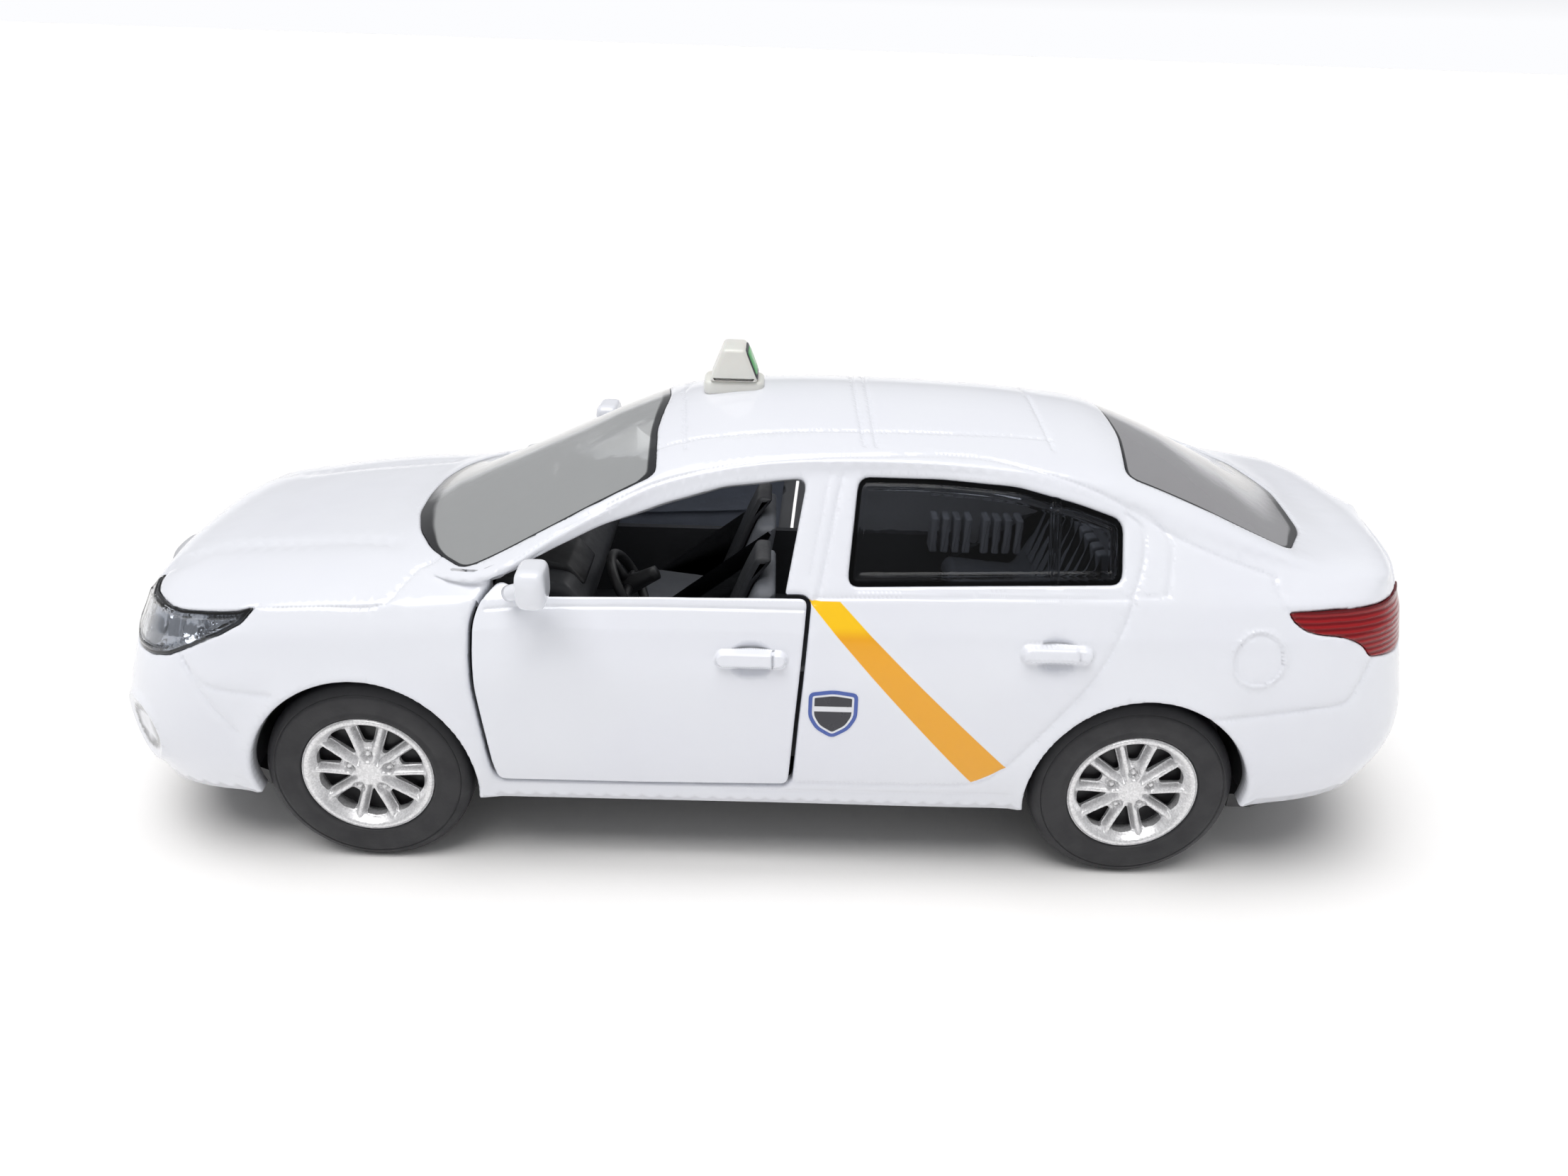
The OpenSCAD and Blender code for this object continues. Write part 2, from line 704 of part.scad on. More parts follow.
module rim_rear_right() {
    color([0.75, 0.76, 0.78])
        mirror([0, 1, 0])
            rim_at(-axle_rear_x);
}
module tyre_front_left() {
    color([0.05, 0.05, 0.05])
        tyre_at(axle_front_x);
}
module tyre_front_right() {
    color([0.05, 0.05, 0.05])
        mirror([0, 1, 0])
            tyre_at(axle_front_x);
}
module tyre_rear_left() {
    color([0.05, 0.05, 0.05])
        tyre_at(-axle_rear_x);
}
module tyre_rear_right() {
    color([0.05, 0.05, 0.05])
        mirror([0, 1, 0])
            tyre_at(-axle_rear_x);
}

body_shell();
front_door_left();
front_door_right();
hinge_pin_left();
hinge_pin_right();
chassis_plate();
cabin_tub();
front_seat_left();
front_seat_right();
rear_bench();
parcel_shelf();
dashboard();
steering_wheel();
windscreen();
rear_window();
side_glass_left();
side_glass_right();
headlamp_left();
headlamp_right();
tail_lamp_left();
tail_lamp_right();
grille();
plate_front();
plate_rear();
mirror_left();
mirror_right();
sign_foot();
sign_box();
front_axle();
rear_axle();
rim_front_left();
rim_front_right();
rim_rear_left();
rim_rear_right();
tyre_front_left();
tyre_front_right();
tyre_rear_left();
tyre_rear_right();
screw_front();
screw_rear();
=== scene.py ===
"""Looks of a pocket-size die-cast toy taxi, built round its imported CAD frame.

Lengths in this file are millimetres until mesh_piece() turns them into metres.
+X is forwards, +Y is the car's left and +Z is up; the ground is z = 0.
"""

import math

import bpy
import numpy as np
from mathutils import Matrix, Vector


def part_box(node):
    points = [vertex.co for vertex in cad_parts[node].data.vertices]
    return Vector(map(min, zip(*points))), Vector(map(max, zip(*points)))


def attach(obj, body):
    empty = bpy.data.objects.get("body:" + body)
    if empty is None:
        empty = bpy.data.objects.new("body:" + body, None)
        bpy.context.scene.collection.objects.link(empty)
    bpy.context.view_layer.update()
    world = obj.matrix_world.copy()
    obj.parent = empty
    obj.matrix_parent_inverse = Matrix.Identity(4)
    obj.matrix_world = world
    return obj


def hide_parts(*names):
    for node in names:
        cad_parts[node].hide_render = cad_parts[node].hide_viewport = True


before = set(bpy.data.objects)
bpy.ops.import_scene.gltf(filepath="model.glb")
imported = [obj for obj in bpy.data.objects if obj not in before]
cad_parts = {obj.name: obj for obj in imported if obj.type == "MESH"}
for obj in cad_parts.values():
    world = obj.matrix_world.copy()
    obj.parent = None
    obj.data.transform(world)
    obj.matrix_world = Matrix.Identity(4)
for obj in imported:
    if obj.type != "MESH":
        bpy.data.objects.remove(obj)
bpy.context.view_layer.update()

MM = 0.001


# ---- Driving sizes ---------------------------------------------------------------------------

def node_box(name):
    """Lowest and highest corner of a CAD node, in millimetres."""
    low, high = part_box(name)
    return np.array(low) / MM, np.array(high) / MM


TYRE_LOW, TYRE_HIGH = node_box("tyre_front_left")
REAR_LOW, REAR_HIGH = node_box("tyre_rear_left")
RIM_LOW, RIM_HIGH = node_box("rim_front_left")
TYRE_R = (TYRE_HIGH[2] - TYRE_LOW[2]) / 2
TYRE_W = TYRE_HIGH[1] - TYRE_LOW[1]
RIM_R = (RIM_HIGH[2] - RIM_LOW[2]) / 2
TYRE_FACE_Y = TYRE_HIGH[1]
FRONT_X = (TYRE_LOW[0] + TYRE_HIGH[0]) / 2
REAR_X = (REAR_LOW[0] + REAR_HIGH[0]) / 2
AXLE_Z = (TYRE_LOW[2] + TYRE_HIGH[2]) / 2

HALF_LEN = 63.0
HALF_W = 23.4
SILL_Z = 7.6
ROOF_Z = 41.8
WALL = 1.2
DOOR_GAP = 0.4
ARCH_R = 10.3
NOSE_POW = 13.0
SIDE_POW = 2.5
LIP_R = 0.28


# ---- The body's surface ----------------------------------------------------------------------

# Levels up the side, from the lower edge to the belt:
# [level, length taken off each end, width taken off the side]
LEVELS = [[0, 1.6, 1.0], [1, 0.2, 0.1], [2, 0, 0], [3, 1.0, 0.5], [4, 1.9, 1.6], [5, 2.8, 3.0]]
# Height of each level along the car: [x, z of level 0, 1, 2, 3, 4, 5]
HEIGHTS = [[-62, 10.5, 13.5, 17, 21.5, 26.5, 30.0], [-57, 9.6, 13, 16.5, 21, 26, 28.8],
           [-46, 8.6, 12, 16, 20.8, 25.4, 28.4], [-24, SILL_Z, 11.4, 15.5, 20.6, 25.1, 28.1],
           [0, SILL_Z, 11.2, 15.2, 20.5, 24.9, 27.9], [24, SILL_Z, 11.2, 15.2, 20.4, 24.6, 27.1],
           [36, SILL_Z, 11.1, 15.1, 20, 23.9, 26.2], [46, SILL_Z - 0.2, 11, 15, 19.6, 23.4, 25.5],
           [56, 7.0, 10.8, 14.6, 18.8, 22, 24.2], [62, 6.4, 10.2, 14, 17.8, 20.5, 22.3]]
# Rails over the top, from the belt in: low rail, high rail, crown: [x, y, z, y, z, z]
RAILS = [[-60.2, 4, 30.1, 2, 30.3, 30.4], [-57, 14.5, 30.0, 10, 30.9, 31.2],
         [-53, 16.6, 30.2, 13, 31.0, 31.4], [-49, 17.6, 30.3, 14.8, 31.3, 32.5],
         [-44, 17.6, 31.2, 15.0, 33.0, 34.9], [-38, 17.0, 32.6, 13.8, 35.5, 37.8],
         [-31.4, 16.0, 34.2, 12.8, 37.6, 40.2], [-27, 15.4, 35.4, 12.5, 38.2, 40.9],
         [-21.9, 14.8, 36.4, 12.4, 38.6, 41.4], [-15, 14.4, 36.9, 12.5, 38.9, ROOF_Z - 0.1],
         [-7.7, 14.4, 36.9, 12.6, 39.0, ROOF_Z], [-1.2, 14.7, 36.6, 12.7, 38.9, ROOF_Z - 0.1],
         [4.4, 15.2, 36.0, 13.0, 38.4, ROOF_Z - 0.5], [10.5, 16.0, 34.4, 13.9, 37.2, 40.0],
         [15.3, 17.0, 32.4, 15.2, 34.9, 38.2], [19.5, 18.0, 30.5, 16.4, 32.6, 36.2],
         [24.9, 19.2, 28.0, 17.7, 29.6, 33.7], [28.5, 18.4, 27.6, 16.9, 28.5, 32.1],
         [32, 17.2, 27.6, 13.5, 28.6, 30.5], [35.6, 16.4, 27.6, 11.5, 28.5, 28.9],
         [40, 16.0, 27.5, 10.5, 28.2, 28.4], [50, 14.5, 26.5, 9.0, 27.2, 27.4],
         [57, 12.5, 25.2, 7.0, 25.9, 26.1], [60.2, 4, 22.7, 2, 23.3, 23.4]]
END_COLUMNS = 6.0
SIDE_COLUMNS = 42.0
LAST_COLUMN = 2 * END_COLUMNS + SIDE_COLUMNS
CORNER = 0.82
CORNER_X = (1 - CORNER ** SIDE_POW) ** (1 / NOSE_POW)
CREASE = 4.0
BELT = 5.0
CROWN = 8.0


def hermite(t, a, b, slope_a, slope_b):
    """Cubic from a to b as t goes from 0 to 1, leaving and arriving with the given slopes."""
    return ((2 * t**3 - 3 * t**2 + 1) * a + (t**3 - 2 * t**2 + t) * slope_a
            + (3 * t**2 - 2 * t**3) * b + (t**3 - t**2) * slope_b)


def curve(rows, x, column=1):
    """Smooth curve through rows [x, a, b, ...] read at x: each span is a cubic whose end slopes
    are those of the chord between the neighbouring rows."""
    rows = np.asarray(rows, float)
    xs, ys = rows[:, 0], rows[:, column]
    before = np.maximum(np.arange(len(xs)) - 1, 0)
    after = np.minimum(np.arange(len(xs)) + 1, len(xs) - 1)
    slope = (ys[after] - ys[before]) / (xs[after] - xs[before])
    i = np.clip(np.searchsorted(xs, x, side="right") - 1, 0, len(xs) - 2)
    h = xs[i + 1] - xs[i]
    t = np.clip((x - xs[i]) / h, 0, 1)
    return hermite(t, ys[i], ys[i + 1], slope[i] * h, slope[i + 1] * h)


def broken_curve(rows, x, column, at):
    """As curve(), but with a corner at the row whose x is at."""
    cut = [i for i, row in enumerate(rows) if row[0] == at][0]
    return np.where(x < at, curve(rows[:cut + 1], x, column), curve(rows[cut:], x, column))


def column_share(u):
    """Where column u meets the plan outline |x|^NOSE_POW + |y|^SIDE_POW = 1: u runs from the
    tail's middle along the left side to the nose's middle."""
    tail_y = CORNER * np.clip(u / END_COLUMNS, 0, 1)
    nose_y = CORNER * np.clip((LAST_COLUMN - u) / END_COLUMNS, 0, 1)
    side_x = CORNER_X * (2 * np.clip((u - END_COLUMNS) / SIDE_COLUMNS, 0, 1) - 1)
    x = np.where(u < END_COLUMNS, -(1 - tail_y ** SIDE_POW) ** (1 / NOSE_POW),
                 np.where(u > END_COLUMNS + SIDE_COLUMNS,
                          (1 - nose_y ** SIDE_POW) ** (1 / NOSE_POW), side_x))
    y = np.where(u < END_COLUMNS, tail_y,
                 np.where(u > END_COLUMNS + SIDE_COLUMNS, nose_y,
                          (1 - np.abs(side_x) ** NOSE_POW) ** (1 / SIDE_POW)))
    return x, y


def base_surface(uv):
    """Points of the plain body at columns u and heights v. Below the belt a column scales the plan
    outline by the level's length and width; above it, a cubic in t runs from the belt over the
    low rail and the high rail to the crown and on to their mirror image."""
    u, v = uv[:, 0], uv[:, 1]
    cx, cy = column_share(u)
    level = np.clip(v, 0, BELT)
    x = cx * (HALF_LEN - broken_curve(LEVELS, level, 1, CREASE))
    y = cy * (HALF_W - broken_curve(LEVELS, level, 2, CREASE))
    heights = [curve(HEIGHTS, x, j + 1) for j in range(6)]
    z = stacked_curve(heights, level, int(CREASE))
    t = np.clip(v - BELT, 0, CROWN - BELT)
    share = np.minimum(1, y / 14)
    low_y, low_z = curve(RAILS, x, 1) * share, curve(RAILS, x, 2)
    high_y, high_z = curve(RAILS, x, 3) * share, curve(RAILS, x, 4)
    crown_z = curve(RAILS, x, 5)
    top_y = stacked_curve([y, low_y, high_y, 0 * y, -high_y], t)
    top_z = stacked_curve([z, low_z, high_z, crown_z, high_z], t)
    above = v > BELT
    y = np.where(above, np.maximum(top_y, 0), y)
    z = np.where(above, top_z, z)
    y = np.where((v >= CROWN) | (u <= 0) | (u >= LAST_COLUMN), 0, y)
    return np.stack([x, y, z], axis=1)


def stacked_curve(values, t, break_at=None):
    """Smooth curve through values at t = 0, 1, 2, ..., for arrays of values; break_at leaves a
    corner at that value."""
    values = np.stack(values)
    last = len(values) - 1
    i = np.clip(np.floor(t).astype(int), 0, last - 1)
    pick = np.arange(values.shape[1])
    low_end = 0 if break_at is None else np.where(i >= break_at, break_at, 0)
    high_end = last if break_at is None else np.where(i >= break_at, last, break_at)
    a, b = values[i, pick], values[i + 1, pick]
    before, after = np.maximum(i - 1, low_end), np.minimum(i + 2, high_end)
    slope_a = (b - values[before, pick]) / (i + 1 - before)
    slope_b = (values[after, pick] - a) / (after - i)
    return hermite(t - i, a, b, slope_a, slope_b)


# ---- Outlines and distances --------------------------------------------------------------------

FAR = 3.0


def rounded(outline, radius, steps=5):
    """The closed outline with each corner replaced by a quadratic curve that starts and ends at
    the radius from the corner, or at the middle of a shorter side."""
    points = np.asarray(outline, float)
    before, after = np.roll(points, 1, axis=0), np.roll(points, -1, axis=0)
    in_len = np.linalg.norm(before - points, axis=1)[:, None]
    out_len = np.linalg.norm(after - points, axis=1)[:, None]
    start = points + (before - points) / in_len * np.minimum(radius, in_len / 2)
    end = points + (after - points) / out_len * np.minimum(radius, out_len / 2)
    t = np.linspace(0, 1, steps)[None, :, None]
    bend = (1 - t)**2 * start[:, None] + 2 * t * (1 - t) * points[:, None] + t**2 * end[:, None]
    return bend.reshape(-1, 2)


def flowing(points, steps=6):
    """The open line drawn through its points as a smooth curve, each span a cubic."""
    rows = [[i, *point] for i, point in enumerate(points)]
    t = np.linspace(0, len(points) - 1, (len(points) - 1) * steps + 1)
    return np.stack([curve(rows, t, 1), curve(rows, t, 2)], axis=1)


def segment_distance(p, a, b):
    """Distance from each point of p to the nearest of the segments from a to b."""
    nearest = np.full(len(p), np.inf)
    for start, end in zip(a, b):
        along, to_p = end - start, p - start
        t = np.clip(to_p @ along / max(along @ along, 1e-12), 0, 1)
        nearest = np.minimum(nearest, ((to_p - t[:, None] * along)**2).sum(axis=1))
    return np.sqrt(nearest)


def line_distance(p, line):
    """Distance from each point to an open line, FAR where it is well away."""
    out = np.full(len(p), FAR)
    near = ((p > line.min(axis=0) - FAR) & (p < line.max(axis=0) + FAR)).all(axis=1)
    if near.any():
        out[near] = segment_distance(p[near], line[:-1], line[1:])
    return out


def outline_distance(p, outline):
    """Signed distance to a closed outline: negative inside, FAR well outside."""
    out = np.full(len(p), FAR)
    near = ((p > outline.min(axis=0) - FAR) & (p < outline.max(axis=0) + FAR)).all(axis=1)
    if not near.any():
        return out
    q = p[near]
    a, b = outline, np.roll(outline, -1, axis=0)
    crossings = np.zeros(len(q), int)
    for start, end in zip(a, b):
        spans = (start[1] > q[:, 1]) != (end[1] > q[:, 1])
        rise = end[1] - start[1] or 1.0
        at = start[0] + (q[:, 1] - start[1]) * (end[0] - start[0]) / rise
        crossings += spans & (q[:, 0] < at)
    d = segment_distance(q, a, b)
    out[near] = np.where(crossings % 2 == 1, -d, d)
    return out


def ramp(x, low, high):
    """Smooth step: 0 below low, 1 above high."""
    t = np.clip((x - low) / (high - low), 0, 1)
    return t * t * (3 - 2 * t)


# Seen from the side, as [x, z]
DOOR_EDGE = rounded([[-3.2, 27.9], [10, 27.7], [21, 27.4], [24, 28.4], [25.5, 27], [26.1, 25.4],
                     [26.2, 22.5], [26.1, 19.6], [25.7, 17], [25.3, 14.4], [24.9, 11.5],
                     [24.5, 9.9], [11, 9.9], [-2.0, 10.1], [-2.4, 17]], 0.7)
FRONT_WINDOW = rounded([[-3, 37.0], [-1.2, 28], [-1.2, 27], [24, 27.5], [24.4, 28.2], [22, 29.5],
                        [19.5, 30.8], [15.3, 32.8], [9.8, 34.8], [4.4, 36.3], [-1.2, 36.9]], 1.0)
REAR_PANE = rounded([[-7.6, 37.2], [-6.7, 28.9], [-31.1, 29.6], [-31.4, 34.4], [-27.4, 35.6],
                     [-21.9, 36.8], [-15, 37.2]], 1.0)
# Seen from above, as [x, y], left half then its mirror image
WINDSCREEN_HALF = [[35.2, 0], [34.9, 5], [33.6, 9.5], [31.6, 13.2], [27.6, 17.4], [19, 16.2],
                   [10.6, 14.6], [11.1, 7], [10.4, 0]]
REAR_WINDOW_HALF = [[-32.5, 0], [-32.8, 6], [-32, 12.9], [-40, 14.4], [-47.2, 15.4],
                    [-50.2, 10], [-51.3, 0]]


def both_halves(half):
    """A plan outline closed by its mirror image in y = 0."""
    return rounded(half + [[x, -y] for x, y in half[-2:0:-1]], 1.2)


WINDSCREEN = both_halves(WINDSCREEN_HALF)
REAR_WINDOW = both_halves(REAR_WINDOW_HALF)
# Seen from the front, as [y, z]
GRILLE = rounded([[-8.5, 15.5], [8.5, 15.5], [8.5, 21.5], [-8.5, 21.5]], 0.8)
INTAKE = rounded([[-9.5, 9.0], [9.5, 9.0], [8.2, 12.0], [-8.2, 12.0]], 0.9)
# On the surface itself, as [column, height]
HEADLAMP = rounded([[44.05, 5.04], [44.35, 4.45], [45.0, 4.04], [46.0, 3.74], [46.7, 3.52],
                    [47.4, 3.46], [48.3, 3.5], [49.4, 3.8], [49.9, 4.3], [49.55, 5.09],
                    [48.9, 5.6], [48.25, 5.97], [48.3, 5.62], [48.15, 5.31], [47.4, 5.07],
                    [46.75, 4.92], [45.65, 4.88], [44.6, 4.88]], 0.12)
TAIL_LAMP = rounded([[9.85, 4.8], [9.7, 4.52], [9.35, 4.28], [8.95, 4.17], [8.3, 4.07],
                     [7.65, 3.89], [7.35, 3.76], [7.15, 3.57], [6.5, 3.5], [5.85, 3.43],
                     [4.6, 3.5], [3.9, 4.2], [4.6, 4.62], [5.25, 4.66], [6.25, 4.71],
                     [6.95, 4.76], [8.25, 4.83]], 0.12)
# Seams and pressed lines on the surface: [column, height], then width and depth
SEAMS = [
    ([[34, 6.86], [30.4, 6.68], [24, 6.9], [20, 6.98], [17.3, 6.6], [15.35, 6.33],
      [13.3, 6.01], [10.45, 5.74], [10.2, 5.53], [9.95, 5.0], [9.9, 4.85]], 0.18, 0.18),
    ([[32.8, 7.25], [30.1, 7.3], [28, 7.28], [23.6, 7.3], [17.4, 7.34]], 0.15, 0.14),
    ([[30.05, 7.2], [30.2, 7.55], [30.4, 8.0]], 0.15, 0.14),
    ([[23.95, 7.1], [24.1, 7.6], [24.15, 8.0]], 0.15, 0.16),
    ([[23.55, 7.1], [23.65, 7.6], [23.7, 8.0]], 0.15, 0.16),
    ([[17.4, 7.2], [17.6, 7.6], [17.7, 8.0]], 0.15, 0.13),
    ([[44.0, 5.04], [43.4, 4.98], [42.0, 4.98], [39.9, 4.94], [39.3, 5.7], [38.9, 6.5],
      [38.3, 7.1]], 0.17, 0.17),
    ([[48.2, 6.1], [46.6, 6.7], [43.5, 6.86], [40.2, 6.95]], 0.6, 0.2),
    ([[15.15, 6.15], [14.65, 6.01], [14.58, 5.65], [14.8, 5.3], [15.0, 5.11]], 0.17, 0.16),
    ([[14.9, 6.35], [14.4, 6.27], [13.85, 6.05], [13.65, 5.79], [13.75, 5.4], [13.85, 5.16]],
     0.2, 0.14),
    ([[13.85, 5.14], [14.5, 5.1], [14.95, 5.1]], 0.15, 0.13),
    ([[12.95, 2.48], [11.75, 2.54], [9.7, 2.67], [8.35, 2.74], [7.95, 2.84], [7.6, 3.11],
      [7.1, 3.49]], 0.2, 0.18),
    ([[5.2, 4.66], [4.6, 5.3], [2.5, 5.9], [0, 6.0]], 0.17, 0.15),
    ([[50.0, 5.0], [51.5, 4.7], [54, 4.6]], 0.17, 0.15),
    ([[35.6, 6.71], [33.5, 6.73], [32.2, 6.58]], 0.14, 0.13),
    ([[34.6, 6.27], [36.0, 5.95]], 0.14, 0.13),
]
# Seen from the side, as [x, z], then width and depth
SIDE_LINES = [
    ([[-32.0, 28.4], [-31.1, 26.0], [-28.6, 21.4], [-24.8, 16.5], [-21.7, 12.6],
      [-18.6, 10.7], [-10, 10.4], [-2.2, 10.4]], 0.17, 0.16),
    ([[-6.1, 37.2], [-4.2, 28.3], [-3.8, 27.8]], 0.17, 0.16),
    ([[-5.0, 37.4], [-3.4, 29.6]], 0.14, 0.08),
    ([[-3.8, 28.0], [-18, 28.3], [-31.8, 28.6]], 0.15, 0.13),
    ([[-3.4, 27.0], [10, 26.9], [21, 26.6], [25, 26.3]], 0.15, 0.12),
    ([[-30.9, 29.0], [-18, 28.8], [-7.4, 28.6]], 0.13, 0.07),
    ([[52.6, 21.2], [50.9, 19.4], [49.3, 18.6], [46, 18.3], [44, 18.2]], 0.16, 0.13),
    ([[52.2, 21.0], [50.2, 17.6], [47.6, 14.4]], 0.16, 0.13),
    ([[24.6, 9.3], [0, 9.2], [-22.5, 9.3]], 0.28, 0.12),
]
SEAM_CURVES = [(base_surface(flowing(line)), width, depth) for line, width, depth in SEAMS]
SIDE_CURVES = [(flowing(line), width, depth) for line, width, depth in SIDE_LINES]
FUEL_FLAP = ((-43.4, 23.85), 2.4)
HANDLES = [(1.6, 22.8), (-25.4, 23.9)]
HANDLE_LEN = 6.6
HANDLE_H = 1.7
FOG_RING = ((58.0, 12.4), 2.3)


def on_surface(outline, p, uv):
    """Signed distance to an outline drawn on the surface: the sign from columns and heights, the
    size in millimetres."""
    near = ((uv > outline.min(axis=0) - 1.5) & (uv < outline.max(axis=0) + 1.5)).all(axis=1)
    out = np.full(len(p), FAR)
    if near.any():
        drawn = base_surface(outline)
        size = segment_distance(p[near], drawn, np.roll(drawn, -1, axis=0))
        out[near] = np.where(outline_distance(uv[near], outline) < 0, -size, size)
    return out


def side_room(p, uv):
    """Distance from each point to the nearest opening cut through the left side, negative inside
    it: door and window holes, rear pane, lamps, and the two wheel arches as circles."""
    side = p[:, [0, 2]]
    rooms = [outline_distance(side, DOOR_EDGE) - DOOR_GAP, outline_distance(side, FRONT_WINDOW),
             outline_distance(side, REAR_PANE), on_surface(HEADLAMP, p, uv),
             on_surface(TAIL_LAMP, p, uv)]
    for x in (FRONT_X, REAR_X):
        rooms.append(np.hypot(p[:, 0] - x, p[:, 2] - AXLE_Z) - ARCH_R)
    return np.min(rooms, axis=0)


def high_outline(p, outline):
    """Signed distance to a plan outline, for points above the belt."""
    return np.where(p[:, 2] > 27, outline_distance(p[:, [0, 1]], outline), FAR)


def front_outline(p, outline):
    """Signed distance to an outline seen from the front, for points on the nose."""
    return np.where(p[:, 0] > 50, outline_distance(p[:, [1, 2]], outline), FAR)


def body_room(p, uv):
    """Distance to the nearest opening of the body shell."""
    return np.min([side_room(p, uv), high_outline(p, WINDSCREEN), high_outline(p, REAR_WINDOW),
                   front_outline(p, GRILLE)], axis=0)


def door_room(p, uv):
    """Distance inside the door's own edge, positive on the door."""
    return -outline_distance(p[:, [0, 2]], DOOR_EDGE)


def lip(room, radius=LIP_R):
    """How far a rounded edge sinks at a distance from the opening: a quarter circle."""
    d = np.clip(radius - room, 0, radius)
    return radius - np.sqrt(np.maximum(radius**2 - d**2, 0))


def handle_relief(side, centre):
    """A finger dish behind a bar with round ends: an oval dip with a raised pill across it."""
    x, z = side[:, 0] - centre[0], side[:, 1] - centre[1]
    dish = 0.6 * (1 - ramp(np.hypot(x / 2.3, (z + 0.1) / 1.75), 0.55, 1.0))
    half = HANDLE_LEN / 2 - HANDLE_H / 2
    pill = np.hypot(np.maximum(np.abs(x) - half, 0), z) - HANDLE_H / 2
    bar = 0.8 * (1 - ramp(pill, -0.42, 0.02))
    split = 0.3 * np.exp(-((x + 1.9) / 0.11)**2) * (pill < -0.1)
    return np.where(pill < 0.02, bar - split, -dish)


def side_relief(p, uv):
    """Height of the pressed and engraved shapes on the side: grooves as bell curves, handles,
    the fuel flap's ring and the swelling round the wheel arches."""
    side = p[:, [0, 2]]
    out = np.zeros(len(p))
    for line, width, depth in SIDE_CURVES:
        out -= depth * np.exp(-(line_distance(side, line) / width)**2)
    centre, radius = FUEL_FLAP
    r = np.hypot(side[:, 0] - centre[0], side[:, 1] - centre[1])
    out += 0.16 * np.exp(-((r - radius) / 0.13)**2) - 0.10 * np.exp(-((r - radius + 0.3) / 0.14)**2)
    for handle in HANDLES:
        out += handle_relief(side, handle)
    for x in (FRONT_X, REAR_X):
        r = np.hypot(p[:, 0] - x, p[:, 2] - AXLE_Z)
        out += 0.3 * np.exp(-((r - ARCH_R) / 1.1)**2) * (p[:, 2] > 6)
    return np.where(p[:, 1] > 8, out, 0)


def fog_distance(p):
    """Distance outwards from the crescent round the fog lamp: a ring less its rear half."""
    centre, radius = FOG_RING
    r = np.hypot(p[:, 0] - centre[0], (p[:, 2] - centre[1]) / 1.25)
    return np.where((p[:, 1] > 8) & (p[:, 0] > 50), r - radius, FAR)


def body_relief(p, uv):
    """Everything that stands proud of or sinks into the body's plain surface."""
    out = side_relief(p, uv)
    for line, width, depth in SEAM_CURVES:
        out -= depth * np.exp(-(line_distance(p, line) / width)**2)
    fog = fog_distance(p)
    out -= 0.55 * (1 - ramp(fog, -1.2, 0.1)) - 0.25 * np.exp(-((fog - 0.25) / 0.3)**2)
    out -= 0.7 * (1 - ramp(front_outline(p, INTAKE), -0.5, 0.05))
    return out - lip(body_room(p, uv))


def door_relief(p, uv):
    """The same for a door, whose own edge is rounded."""
    return side_relief(p, uv) - lip(door_room(p, uv), 0.22)


def shape_distance(p, uv):
    """Distance to the nearest engraved line, ring or handle."""
    side = p[:, [0, 2]]
    d = np.full(len(p), FAR)
    for line, *_ in SIDE_CURVES:
        d = np.minimum(d, np.where(p[:, 1] > 8, line_distance(side, line), FAR))
    for line, width, _ in SEAM_CURVES:
        if width < 0.5:
            d = np.minimum(d, line_distance(p, line))
    centre, radius = FUEL_FLAP
    d = np.minimum(d, np.abs(np.hypot(side[:, 0] - centre[0], side[:, 1] - centre[1]) - radius))
    for handle in HANDLES:
        pill = np.hypot(np.maximum(np.abs(side[:, 0] - handle[0]) - 2.4, 0),
                        side[:, 1] - handle[1]) - 1.2
        d = np.minimum(d, np.maximum(pill, 0))
    d = np.minimum(d, np.abs(fog_distance(p)))
    return np.minimum(d, np.abs(front_outline(p, INTAKE)))


def finer_near(room, fine=0.345, coarse=1.8):
    """Wanted edge length: fine beside openings and shapes, coarser away from them."""
    def spacing(p, uv):
        d = np.minimum(np.abs(room(p, uv)), shape_distance(p, uv))
        return np.clip(fine + 1.1 * (d - 0.15), fine, coarse)
    return spacing


# ---- Meshing a patch of the surface ------------------------------------------------------------

def grid_patch(first_u, last_u, first_v, last_v, step_u, step_v):
    """Column and height numbers on a grid, and the triangles between them, outward side first."""
    nu = int(np.ceil((last_u - first_u) / step_u)) + 1
    nv = int(np.ceil((last_v - first_v) / step_v)) + 1
    u, v = np.meshgrid(np.linspace(first_u, last_u, nu), np.linspace(first_v, last_v, nv),
                       indexing="ij")
    i = np.arange(nu * nv).reshape(nu, nv)
    a, b, c, d = i[:-1, :-1].ravel(), i[1:, :-1].ravel(), i[1:, 1:].ravel(), i[:-1, 1:].ravel()
    tris = np.concatenate([np.stack([a, c, b], axis=1), np.stack([a, d, c], axis=1)])
    return np.stack([u.ravel(), v.ravel()], axis=1), tris


